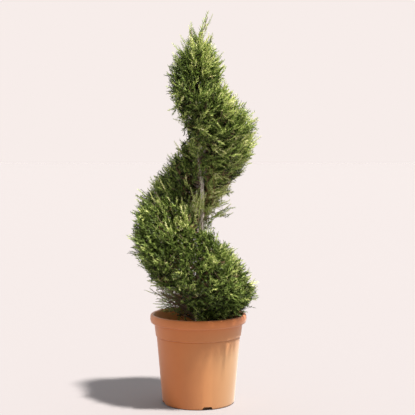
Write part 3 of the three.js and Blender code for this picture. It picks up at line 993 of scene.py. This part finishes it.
# Scale leaves of a cypress: waxy and matt, darker inside the plant as painted shade, yellow at this year's
# tips and partly painted light there
leafTones = [
    ("deepShadeLeaf", "#171c04", 0.6),
    ("shadeLeaf", "#354310", 0.5),
    ("midGreenLeaf", "#657b37", 0.42),
    ("freshGreenLeaf", "#9aad5a", 0.4),
    ("yellowGreenLeaf", "#ced785", 0.4),
    ("paleTipLeaf", "#f1efb6", 0.4),
]
leaves = [newMaterial(*tone, Specular_IOR_Level=0.25)[0] for tone in leafTones]
# Older twigs are dull grey-brown, young wood is browner and smoother
twigTones = [("greyBrownTwig", "#85715f", 0.85), ("youngBrownTwig", "#8a6c4a", 0.75)]
twigBarks = [newMaterial(*tone)[0] for tone in twigTones]

# Thin fibrous bark: grey-brown strips about 3 mm wide, with paler new wood between them in blotches
bark, tree, shader = newMaterial("fibrousBark", "#7d6a5c", 0.88)
place = addNode(tree, "ShaderNodeTexCoord").outputs["Object"]
strips = addNode(tree, "ShaderNodeMapping", {"Vector": place, "Scale": (1, 1, 0.14)}).outputs[0]
grain = addNode(
    tree, "ShaderNodeTexNoise", {"Vector": strips, "Scale": 330.0, "Detail": 4.0, "Roughness": 0.6}
).outputs["Fac"]
blotches = addNode(tree, "ShaderNodeTexNoise", {"Vector": place, "Scale": 45.0, "Detail": 2.0})
# Strip colours near white: partly the bark's own pale grey, partly painted sunlight on the shaded trunk
barkGrainPaintedPale = addNode(tree, "ShaderNodeValToRGB", {"Fac": grain})
for stop, text in ((0.34, "#b7aca2"), (0.5, "#eae2d9"), (0.66, "#fffaf3")):
    element = barkGrainPaintedPale.color_ramp.elements.new(stop)
    element.color = hexColor(text)
for end in (0, -1):
    barkGrainPaintedPale.color_ramp.elements.remove(barkGrainPaintedPale.color_ramp.elements[end])
pale = addNode(
    tree,
    "ShaderNodeMix",
    {"Factor": blotches.outputs["Fac"], "A": barkGrainPaintedPale.outputs["Color"], "B": hexColor("#c8b3a8")},
    data_type="RGBA",
    blend_type="SOFT_LIGHT",
)
bump = addNode(tree, "ShaderNodeBump", {"Strength": 0.5, "Distance": 0.6 * mm, "Height": grain})
tree.links.new(pale.outputs["Result"], shader.inputs["Base Color"])
tree.links.new(bump.outputs[0], shader.inputs["Normal"])


# One shoot of a spray: a three-sided spike of scale leaves that comes to a point
def spike(points, faces, tips, start, end, width, tip):
    way = (end - start).normalized()
    side = way.orthogonal().normalized()
    up = way.cross(side)
    first = len(points)
    for i in range(3):
        angle = 2 * math.pi * i / 3
        points.append(start + (side * math.cos(angle) + up * math.sin(angle)) * width / 2)
    points.append(end)
    faces += [(first + 2, first + 1, first), *((first + i, first + (i + 1) % 3, first + 3) for i in range(3))]
    tips += [tip] * 4


# A spray: a swaying axis with side shoots on both sides, most of which fork
def sprayShape(name, seed, sizes):
    rng = random.Random(seed)
    points, faces, tips = [], [], []
    length, width = sizes["length"] * mm, sizes["width"] * mm
    sway = Vector((rng.uniform(-1, 1), rng.uniform(-1, 1), 0)) * 0.07 * length
    steps = 5

    def axisAt(share):
        return Vector((0, 0, length * share)) + sway * math.sin(2.6 * share)

    for i, tip in enumerate((0, 0, 0, 1, 1)):  # the axis, as scale leaves clasp it
        end = axisAt(min((i + 1.9) / steps, 1))
        spike(points, faces, tips, axisAt(i / steps), end, width * (1.1 - 0.1 * i), tip)
    for i in range(sizes["shoots"]):
        share = 0.08 + 0.88 * (i + 0.5) / sizes["shoots"]
        angle = math.pi * (i % 2) + rng.gauss(0, sizes["twist"])
        lean = math.radians(55 - 20 * share + rng.uniform(-12, 12))
        reach = sizes["reach"] * mm * (1.15 - 0.7 * share) * rng.uniform(0.7, 1.2)
        outward = Vector((math.cos(angle), math.sin(angle), 0))
        way = outward * math.sin(lean) + Vector((0, 0, math.cos(lean)))
        start = axisAt(share)
        end = start + way * reach
        # Shoot ends take paler tones: this year's yellow growth, and partly painted light
        tip = (rng.random() < 0.3 + 0.6 * share) + (rng.random() < 0.1 + 0.45 * share)
        spike(points, faces, tips, start, end, width * 0.95, tip)
        if share > 0.82:
            continue
        for side in range(sizes["forks"]):
            turned = Vector((rng.gauss(0, 0.35), rng.gauss(0, 0.35), 0.55))
            fork = start.lerp(end, 0.25 + 0.26 * side)
            forkEnd = fork + (way + turned).normalized() * reach * (0.7 - 0.12 * side)
            spike(points, faces, tips, fork, forkEnd, width * 0.85, min(tip + (rng.random() < 0.4), 2))
    mesh = meshFrom(name, points, faces)
    carry(mesh, "tip", tips, "FACE")
    sprayShapes.objects.link(bpy.data.objects.new(name, mesh))


# What points, lines and faces carry into the trees
carried = dict(aim="FLOAT_VECTOR", size="FLOAT", kind="INT", tone="INT", thick="FLOAT", tip="INT")


def carry(mesh, field, values, domain="POINT"):
    data = mesh.attributes.new(field, carried[field], domain).data
    data.foreach_set("vector" if field == "aim" else "value", values)


sprayShapes = bpy.data.collections.new("sprayShapes")
for shape, sizes in plumes.items():
    for number in range(firstKinds[shape], firstKinds[shape] + sizes["kinds"]):
        sprayShape(f"spray{number:02d}", 10 + number, sizes)


def newTree(name, inputs, fields):
    tree = bpy.data.node_groups.new(name, "GeometryNodeTree")
    tree.interface.new_socket("Geometry", in_out="OUTPUT", socket_type="NodeSocketGeometry")
    for label, kind in {"Geometry": "Geometry", **inputs}.items():
        tree.interface.new_socket(label, in_out="INPUT", socket_type="NodeSocket" + kind)
    read = {}
    for field in fields:
        settings = {"data_type": carried[field]}
        read[field] = addNode(tree, "GeometryNodeInputNamedAttribute", {"Name": field}, **settings).outputs[0]
    return tree, addNode(tree, "NodeGroupInput").outputs, read


# Each tree ends in real geometry, with the material that each face's or point's number picks
def finishTree(tree, geometry, materials, number):
    geometry = addNode(tree, "GeometryNodeRealizeInstances", {"Geometry": geometry}).outputs[0]
    for i, material in enumerate(materials):
        same = addNode(tree, "FunctionNodeCompare", {2: number, 3: i}, data_type="INT", operation="EQUAL")
        sockets = {"Geometry": geometry, "Material": material, "Selection": same.outputs[0]}
        geometry = addNode(tree, "GeometryNodeSetMaterial", sockets).outputs[0]
    addNode(tree, "NodeGroupOutput", {"Geometry": geometry})
    return tree


def scatterTree(name, materials):
    inputs = {"Shapes": "Collection", "Size": "Float", "Spread": "Float", "Seed": "Int"}
    tree, given, read = newTree(name, inputs, ("aim", "size", "kind", "tone", "tip"))
    shapes = addNode(
        tree,
        "GeometryNodeCollectionInfo",
        {"Collection": given["Shapes"], "Separate Children": True, "Reset Children": True},
    )
    aimed = addNode(tree, "FunctionNodeAlignRotationToVector", {"Vector": read["aim"]}, axis="Z").outputs[0]
    smaller, larger, tone = (
        addNode(tree, "ShaderNodeMath", {0: first, 1: second}, operation=way).outputs[0]
        for first, second, way in (
            (given["Size"], given["Spread"], "SUBTRACT"),
            (given["Size"], given["Spread"], "ADD"),
            (read["tone"], read["tip"], "ADD"),
        )
    )
    roll, size = (
        addNode(
            tree, "FunctionNodeRandomValue", {2: least, 3: most, "Seed": given["Seed"]}, data_type="FLOAT"
        ).outputs[1]
        for least, most in ((0.0, 2 * math.pi), (smaller, larger))
    )
    rolled = addNode(tree, "ShaderNodeCombineXYZ", {"Z": roll}).outputs[0]
    turned = addNode(tree, "FunctionNodeRotateRotation", {0: aimed, 1: rolled}, rotation_space="LOCAL")
    scaled = addNode(tree, "ShaderNodeMath", {0: size, 1: read["size"]}, operation="MULTIPLY")
    placed = addNode(
        tree,
        "GeometryNodeInstanceOnPoints",
        {
            "Points": given["Geometry"],
            "Pick Instance": True,
            "Instance": shapes.outputs[0],
            "Instance Index": read["kind"],
            "Rotation": turned.outputs[0],
            "Scale": scaled.outputs[0],
        },
    )
    return finishTree(tree, placed.outputs[0], materials, tone)


def limbTree(name, materials):
    tree, given, read = newTree(name, {"Sides": "Int"}, ("thick", "tone"))
    lines = addNode(tree, "GeometryNodeMeshToCurve", {"Mesh": given["Geometry"]})
    ring = addNode(tree, "GeometryNodeCurvePrimitiveCircle", {"Radius": 1.0, "Resolution": given["Sides"]})
    tube = addNode(
        tree,
        "GeometryNodeCurveToMesh",
        {
            "Curve": lines.outputs[0],
            "Profile Curve": ring.outputs[0],
            "Scale": read["thick"],
            "Fill Caps": True,
        },
    )
    return finishTree(tree, tube.outputs[0], materials, read["tone"])


def grown(mesh, tree, values):
    carrier = addObject("carrier", mesh)
    modifier = carrier.modifiers.new("growth", "NODES")
    modifier.node_group = tree
    for item in tree.interface.items_tree:
        if item.in_out == "INPUT" and item.name in values:
            modifier[item.identifier] = values[item.name]
    result = evaluatedMesh(carrier)
    for field in carried:
        if field in result.attributes:
            result.attributes.remove(result.attributes[field])
    return result


def evaluatedMesh(thing):
    depsgraph = bpy.context.evaluated_depsgraph_get()
    mesh = bpy.data.meshes.new_from_object(thing.evaluated_get(depsgraph), depsgraph=depsgraph)
    bpy.data.objects.remove(thing)
    return mesh


def scattered(rows, tree, shapes, spread, seed):
    mesh = bpy.data.meshes.new("places")
    places, aims, *others = zip(*rows)
    mesh.from_pydata([tuple(p) for p in places], [], [])
    carry(mesh, "aim", [x for aim in aims for x in aim])
    for field, values in zip(("size", "kind", "tone"), others):
        carry(mesh, field, values)
    return grown(mesh, tree, {"Shapes": shapes, "Size": 1.0, "Spread": spread, "Seed": seed})


def linesMesh(rows):
    points, edges, thick, tones = [], [], [], []
    for line, radii, tone in rows:
        edges += [(len(points) + i, len(points) + i + 1) for i in range(len(line) - 1)]
        points += [tuple(p) for p in line]
        thick += radii
        tones += [tone] * len(line)
    mesh = bpy.data.meshes.new("lines")
    mesh.from_pydata(points, edges, [])
    carry(mesh, "thick", thick)
    carry(mesh, "tone", tones)
    return mesh


sprayTree = scatterTree("spraysOnTwigs", leaves)
total = 0
for key, rows in sprays.items():
    mesh = scattered(rows, sprayTree, sprayShapes, 0.1, 3)
    total += len(mesh.polygons)
    addPiece("sprays_" + key, mesh, "foliage", "crown_top" if key == "crown" else "foliage_" + key)
print("sprays done:", total, "faces")
for shape in list(sprayShapes.objects):
    bpy.data.objects.remove(shape)

mesh = grown(linesMesh(twigs), limbTree("twigsAlongLines", twigBarks), {"Sides": 3})
addPiece("twigs", mesh, "bark")
print("twigs done:", len(mesh.polygons), "faces")

# Trunk and boughs with the bark's relief, in mm
barkRelief = {
    "depth": 0.5,
    "width": 3.2,  # of the strips, and their length
    "length": 26,
    "knot": 2.2,  # how far a knot stands out, and its size
    "knotSize": 9,
    "full": 6,  # the relief fades on limbs thinner than this
    "under": 0.75,  # the trunk is a little slimmer than its solid, as in the photograph
}
trunkMesh = {"sides": 26, "ring": 3.2 * mm}
boughMesh = {"sides": 14, "ring": 3 * mm}
knots = [line[0] for line, _ in limbs]
knots += [trunkAt(height) + Vector((6 * mm, -8 * mm, 0)) for height in (0.36, 0.483, 0.541, 0.575)]


# Faces between a tube's rings of points, and a fan round a middle point at each end
def tubeFaces(verts, sides, ends):
    faces = []
    last = len(verts) - sides
    for ring in range(0, last, sides):
        for j in range(sides):
            a, b = ring + j, ring + (j + 1) % sides
            faces.append((a, b, b + sides, a + sides))
    for ring, end, way in ((0, ends[0], -1), (last, ends[1], 1)):
        verts.append(end)
        top = len(verts) - 1
        faces += [(ring + j, ring + (j + 1) % sides, top)[::way] for j in range(sides)]
    return faces


def riseAt(spot, radius):
    full = min(1, radius / (barkRelief["full"] * mm))
    strip = Vector((spot.x, spot.y, 0)) / (barkRelief["width"] * mm)
    wave = noise.noise(strip + Vector((0, 0, spot.z / (barkRelief["length"] * mm))))
    rise = barkRelief["depth"] * mm * (1 - 2 * abs(wave)) * full
    for knot in knots:
        near = (spot - knot).length / (barkRelief["knotSize"] * mm)
        if near < 3:
            rise += barkRelief["knot"] * mm * math.exp(-near * near) * full
    return rise


def barkTube(line, radii, sizes):
    lengths = np.concatenate([[0], np.cumsum([(b - a).length for a, b in zip(line, line[1:])])])
    count = max(4, int(lengths[-1] / sizes["ring"]))

    def pointAt(distance):
        return Vector([float(np.interp(distance, lengths, [p[k] for p in line])) for k in range(3)])

    verts = []
    sides = sizes["sides"]
    for i in range(count + 1):
        at = lengths[-1] * i / count
        ahead, behind = min(at + sizes["ring"], lengths[-1]), max(at - sizes["ring"], 0)
        way = (pointAt(ahead) - pointAt(behind)).normalized()
        side = way.cross(Vector((0, 1, 0.01))).normalized()
        up = side.cross(way)
        middle = pointAt(at)
        radius = float(np.interp(at, lengths, radii))
        for j in range(sides):
            angle = 2 * math.pi * j / sides
            outward = side * math.cos(angle) + up * math.sin(angle)
            spot = middle + outward * radius
            verts.append(spot + outward * riseAt(spot, radius))
    ends = [sum(ring, Vector()) / sides for ring in (verts[:sides], verts[-sides:])]
    return verts, tubeFaces(verts, sides, ends)


def joinedTubes(name, tubes):
    verts, faces = [], []
    for tubeVerts, tubeRounds in tubes:
        first = len(verts)
        verts += tubeVerts
        faces += [tuple(first + corner for corner in face) for face in tubeRounds]
    mesh = meshFrom(name, verts, faces)
    mesh.shade_smooth()
    mesh.materials.append(bark)
    return mesh


heights = np.linspace(trunk["foot"] + ribbon["gap"], trunk["tip"], 60)
radii = [trunkRadius(height) * barkRelief["under"] for height in heights]
stem = barkTube([trunkAt(height) for height in heights], radii, trunkMesh)
addPiece("trunk_bark", joinedTubes("trunk_bark", [stem]), "bark", "trunk")
tubes = [barkTube(line, radii, boughMesh) for line, radii in limbs]
boughNames = [f"bough_{i + 1:02d}" for i in range(ribbon["masses"])]
addPiece("boughs_bark", joinedTubes("boughs_bark", tubes), "bark", *boughNames)
print("trunk and boughs done")

# Injection-moulded polypropylene in a terracotta colour: satin, with faint flow marks about 70 mm wide,
# and painted paler on its sunny side under the collar, as painted sunlight
sheen = {"Sheen_Weight": 0.25, "Sheen_Roughness": 0.45}
potPlastic, tree, shader = newMaterial("mouldedPolypropylene", "#c37137", 0.5, **sheen)
place = addNode(tree, "ShaderNodeTexCoord").outputs["Object"]
clouds = addNode(tree, "ShaderNodeTexNoise", {"Vector": place, "Scale": 14.0, "Detail": 3.0})
x, y, z = addNode(tree, "ShaderNodeSeparateXYZ", {"Vector": place}).outputs
# Shares: the sunny side and under the collar, where sunlight is painted, and above the compost
sunny, low, above = (
    addNode(tree, "ShaderNodeMapRange", {"Value": at, "From Min": first, "From Max": last}).outputs["Result"]
    for at, first, last in ((x, -0.05, 0.1), (z, 0.225, 0.13), (z, 0.176, 0.182))
)
# The wall leans out, and inside it the radius is less than here
across = addNode(tree, "ShaderNodeCombineXYZ", {"X": x, "Y": y}).outputs[0]
reach = addNode(tree, "ShaderNodeVectorMath", {0: across}, operation="LENGTH").outputs["Value"]
upright = addNode(tree, "ShaderNodeMath", {0: z, 1: -0.11, 2: reach}, operation="MULTIPLY_ADD").outputs[0]
inner = addNode(
    tree, "ShaderNodeMapRange", {"Value": upright, "From Min": 0.0907, "From Max": 0.0901, "To Max": 0.8}
).outputs["Result"]
# Masks of the painted sunlight, and of the painted light on the inner wall above the compost
paintedSunPale, inside = (
    addNode(tree, "ShaderNodeMath", {0: first, 1: second}, operation="MULTIPLY").outputs[0]
    for first, second in ((sunny, low), (inner, above))
)
# The flow marks' two colours, then the paler painted sunlight, and paler painted light on the inner wall
color = hexColor("#bb6b33")
for factor, text in ((clouds.outputs["Fac"], "#cb793c"), (paintedSunPale, "#bd9468"), (inside, "#f7a862")):
    sockets = {"Factor": factor, "A": color, "B": hexColor(text)}
    color = addNode(tree, "ShaderNodeMix", sockets, data_type="RGBA").outputs["Result"]
frost = addNode(tree, "ShaderNodeTexNoise", {"Vector": place, "Scale": 900.0, "Detail": 2.0}).outputs["Fac"]
bump = addNode(tree, "ShaderNodeBump", {"Strength": 0.06, "Distance": 0.3 * mm, "Height": frost})
tree.links.new(color, shader.inputs["Base Color"])
tree.links.new(bump.outputs[0], shader.inputs["Normal"])

potSizes = {"segments": 144, "crease": 50}
# Drainage notches, in mm: the first one's turn from the front in degrees, and how deep they cut
notchSizes = {"count": 4, "turn": 14.3, "width": 26, "height": 8, "corner": 6, "depths": (-110, -80)}
# The wall's section, corner by corner: radius, height and rounding in mm
potCorners = [
    (93, 0, 5), (107.9, 172.6, 0.5), (107.0, 173.8, 0.5), (110.4, 175.6, 1.2), (114.2, 208.4, 0.6),
    (122.6, 208.8, 6), (125, 220, 7), (123.2, 231, 7), (115, 231, 3.5), (114.2, 222, 3),
    (111.8, 208, 4), (104.7, 174, 2), (90.6, 3, 3),
]


def rounded(corners, steps=5):
    line = [(0, 0)]
    for i, (radius, height, rounding) in enumerate(corners):
        here = Vector((radius, height))
        before = Vector(corners[i - 1][:2]) if i else Vector((0, 0))
        after = Vector(corners[i + 1][:2]) if i + 1 < len(corners) else Vector((0, 3))
        start = here + (before - here).normalized() * min(rounding, 0.45 * (before - here).length)
        end = here + (after - here).normalized() * min(rounding, 0.45 * (after - here).length)
        line += [tuple(p) for p in curved(start, here, end, steps)]
    return line + [(0, 3)]


def turnedMesh(name, line, segments):
    verts = []
    for radius, height in line[1:-1]:
        for j in range(segments):
            angle = 2 * math.pi * j / segments
            verts.append(Vector((radius * math.cos(angle), radius * math.sin(angle), height)) * mm)
    ends = [Vector((0, 0, height)) * mm for _, height in (line[0], line[-1])]
    faces = tubeFaces(verts, segments, ends)
    return meshFrom(name, verts, faces)


# An arched block that cuts a drainage notch in the foot, at an angle from the front
def notchBlock(degrees):
    corner = notchSizes["corner"]
    half, top = notchSizes["width"] / 2, notchSizes["height"]
    arch = [(-half, -2), (half, -2)]
    for side in (1, -1):
        for step in range(7)[::side]:
            angle = math.pi / 2 * step / 6
            out = half - corner + corner * math.cos(angle)
            arch.append((side * out, top - corner + corner * math.sin(angle)))
    count = len(arch)
    turned = math.radians(degrees)
    verts = []
    for depth in notchSizes["depths"]:
        for across, up in arch:
            x = across * math.cos(turned) - depth * math.sin(turned)
            y = across * math.sin(turned) + depth * math.cos(turned)
            verts.append(Vector((x, y, up)) * mm)
    faces = [(i, (i + 1) % count, (i + 1) % count + count, i + count)[::-1] for i in range(count)]
    faces += [tuple(range(count)), tuple(reversed(range(count, 2 * count)))]
    return addObject("notch", meshFrom("notch", verts, faces))


potBlank = addObject("potBlank", turnedMesh("pot_body", rounded(potCorners), potSizes["segments"]))
turns = [notchSizes["turn"] + 360 * i / notchSizes["count"] for i in range(notchSizes["count"])]
notches = [notchBlock(turn) for turn in turns]
for notch in notches:
    cut = potBlank.modifiers.new("cut", "BOOLEAN")
    cut.object = notch
    cut.operation = "DIFFERENCE"
    cut.solver = "EXACT"
potMesh = evaluatedMesh(potBlank)
for notch in notches:
    bpy.data.objects.remove(notch)
potMesh.materials.clear()
potMesh.materials.append(potPlastic)
potMesh.shade_smooth()
potMesh.set_sharp_from_angle(angle=math.radians(potSizes["crease"]))
addPiece("pot_body", potMesh, "pot", "pot")
print("pot done:", len(potMesh.polygons), "faces")

# Moist compost: matt dark brown crumbs about 2 mm wide, with paler fibres and bits of bark
crumbs, tree, shader = newMaterial("moistCompost", "#3b2a1e", 0.95)
place = addNode(tree, "ShaderNodeTexCoord").outputs["Object"]
grains = addNode(
    tree, "ShaderNodeTexNoise", {"Vector": place, "Scale": 420.0, "Detail": 4.0, "Roughness": 0.65}
).outputs["Fac"]
sockets = {"Factor": grains, "A": hexColor("#20160f"), "B": hexColor("#5f4630")}
crumbColors = addNode(tree, "ShaderNodeMix", sockets, data_type="RGBA")
bump = addNode(tree, "ShaderNodeBump", {"Strength": 0.8, "Distance": 1.5 * mm, "Height": grains})
tree.links.new(crumbColors.outputs["Result"], shader.inputs["Base Color"])
tree.links.new(bump.outputs[0], shader.inputs["Normal"])

# The heap in mm: its radius, its height at the wall and in the middle, and its lumps
heap = {"radius": 104, "edge": 188, "middle": 196, "lumps": 1.6, "lumpSize": 9}
chips = {"count": 800, "size": (1.2, 4.2), "from": 15, "to": 101, "seed": 41}
rise = heap["middle"] - heap["edge"]
heapLine = [(0, 3.3), (87.5, 3.3), (90.1, 8), (104.2, 172), (heap["radius"], heap["edge"] - 1)]
heapLine += [(heap["radius"] - 4 * i, heap["edge"] + rise * (i / 25) ** 0.8) for i in range(1, 26)]
heapMesh = turnedMesh("compost_heap", heapLine + [(0, heap["middle"])], 96)
for vertex in heapMesh.vertices:
    if vertex.co.z > (heap["edge"] - 2) * mm:
        vertex.co.z += heap["lumps"] * mm * noise.noise(vertex.co / (heap["lumpSize"] * mm))
heapMesh.materials.append(crumbs)
heapMesh.shade_smooth()

chipShapes = bpy.data.collections.new("chipShapes")
for i, (length, breadth, depth) in enumerate(((1, 0.8, 0.7), (1.5, 0.6, 0.3), (2.6, 0.3, 0.25))):
    rng = random.Random(60 + i)
    points, faces = [(0, 0, -depth)], []
    for ring, (level, out) in enumerate(((-0.6, 0.8), (0.0, 1.0), (0.6, 0.75))):
        for j in range(6):
            angle = math.pi * j / 3 + 0.3 * ring
            far = out * rng.uniform(0.8, 1.2)
            points.append((far * length * math.cos(angle), far * breadth * math.sin(angle), level * depth))
    points.append((0, 0, depth))
    for j in range(6):
        a, b = 1 + j, 1 + (j + 1) % 6
        faces += [(0, b, a), (a, b, b + 6, a + 6), (a + 6, b + 6, b + 12, a + 12), (a + 12, b + 12, 19)]
    chipShapes.objects.link(bpy.data.objects.new(f"chip{i}", meshFrom(f"chip{i}", points, faces)))

rng = random.Random(chips["seed"])
chipRows = []
while len(chipRows) < chips["count"]:
    x, y = (rng.uniform(-chips["to"], chips["to"]) for _ in range(2))
    reach = math.hypot(x, y)
    if chips["from"] < reach < chips["to"]:
        share = (heap["radius"] - reach) / heap["radius"]
        height = heap["edge"] + rise * share**0.8 + 0.4
        tilt = Vector((rng.gauss(0, 0.35), rng.gauss(0, 0.35), 1)).normalized()
        size = rng.uniform(*chips["size"]) * rng.uniform(0.5, 1)
        chipRows.append((Vector((x, y, height)) * mm, tilt, size * mm, rng.randrange(3), 0))
chipMesh = scattered(chipRows, scatterTree("chipsOnCompost", [crumbs]), chipShapes, 0.2, 5)
for shape in list(chipShapes.objects):
    bpy.data.objects.remove(shape)
addPiece("compost_heap", heapMesh, "compost", "compost")
addPiece("compost_chips", chipMesh, "compost")
print("compost done:", len(heapMesh.polygons) + len(chipMesh.polygons), "faces")

# Floor, backdrop and light: high soft sun from the right, a little to the front, and even fill
studio = {
    "backdrop": "#f7edea",
    "front": 0.5,
    "behind": 1.0,
    "fill": (1, 0.97, 0.93, 1),
    "floor": "#8c898e",
    "sun": 8.8,
    "sunColor": (1.0, 0.94, 0.84),
    "sunAngle": 4,
    "sunFrom": (0.282, -0.220, 0.934),
}
corners = [(-40, -40, 0), (40, -40, 0), (40, 40, 0), (-40, 40, 0)]
floor = addObject("floor", meshFrom("floor", corners, [(0, 1, 2, 3)]))
floor.data.materials.append(newMaterial("paleFloor", studio["floor"], 0.9)[0])
floor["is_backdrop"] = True

world = bpy.data.worlds.new("studio")
world.use_nodes = True
tree = world.node_tree
place = addNode(tree, "ShaderNodeTexCoord").outputs["Generated"]
y = addNode(tree, "ShaderNodeSeparateXYZ", {"Vector": place}).outputs["Y"]
# Brighter from behind than from the front
strength = addNode(
    tree,
    "ShaderNodeMapRange",
    {"Value": y, "From Min": -0.3, "From Max": 0.5, "To Min": studio["front"], "To Max": studio["behind"]},
).outputs["Result"]
light = addNode(tree, "ShaderNodeBackground", {"Color": studio["fill"], "Strength": strength}).outputs[0]
paper = addNode(tree, "ShaderNodeBackground", {"Color": hexColor(studio["backdrop"])}).outputs[0]
seen = addNode(tree, "ShaderNodeLightPath").outputs["Is Camera Ray"]
both = addNode(tree, "ShaderNodeMixShader", {0: seen, 1: light, 2: paper})
tree.links.new(both.outputs[0], tree.nodes["World Output"].inputs["Surface"])
bpy.context.scene.world = world
bpy.context.scene.view_settings.view_transform = "Standard"

sunData = bpy.data.lights.new("softSun", "SUN")
sunData.energy = studio["sun"]
sunData.angle = math.radians(studio["sunAngle"])
sunData.color = studio["sunColor"]
sun = addObject("softSun", sunData)
sun.rotation_euler = Vector(studio["sunFrom"]).to_track_quat("Z", "Y").to_euler()
print("stage done")

sizes = {"cad": [list(c) for c in cadBounds], "visual": [list(c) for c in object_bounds()]}
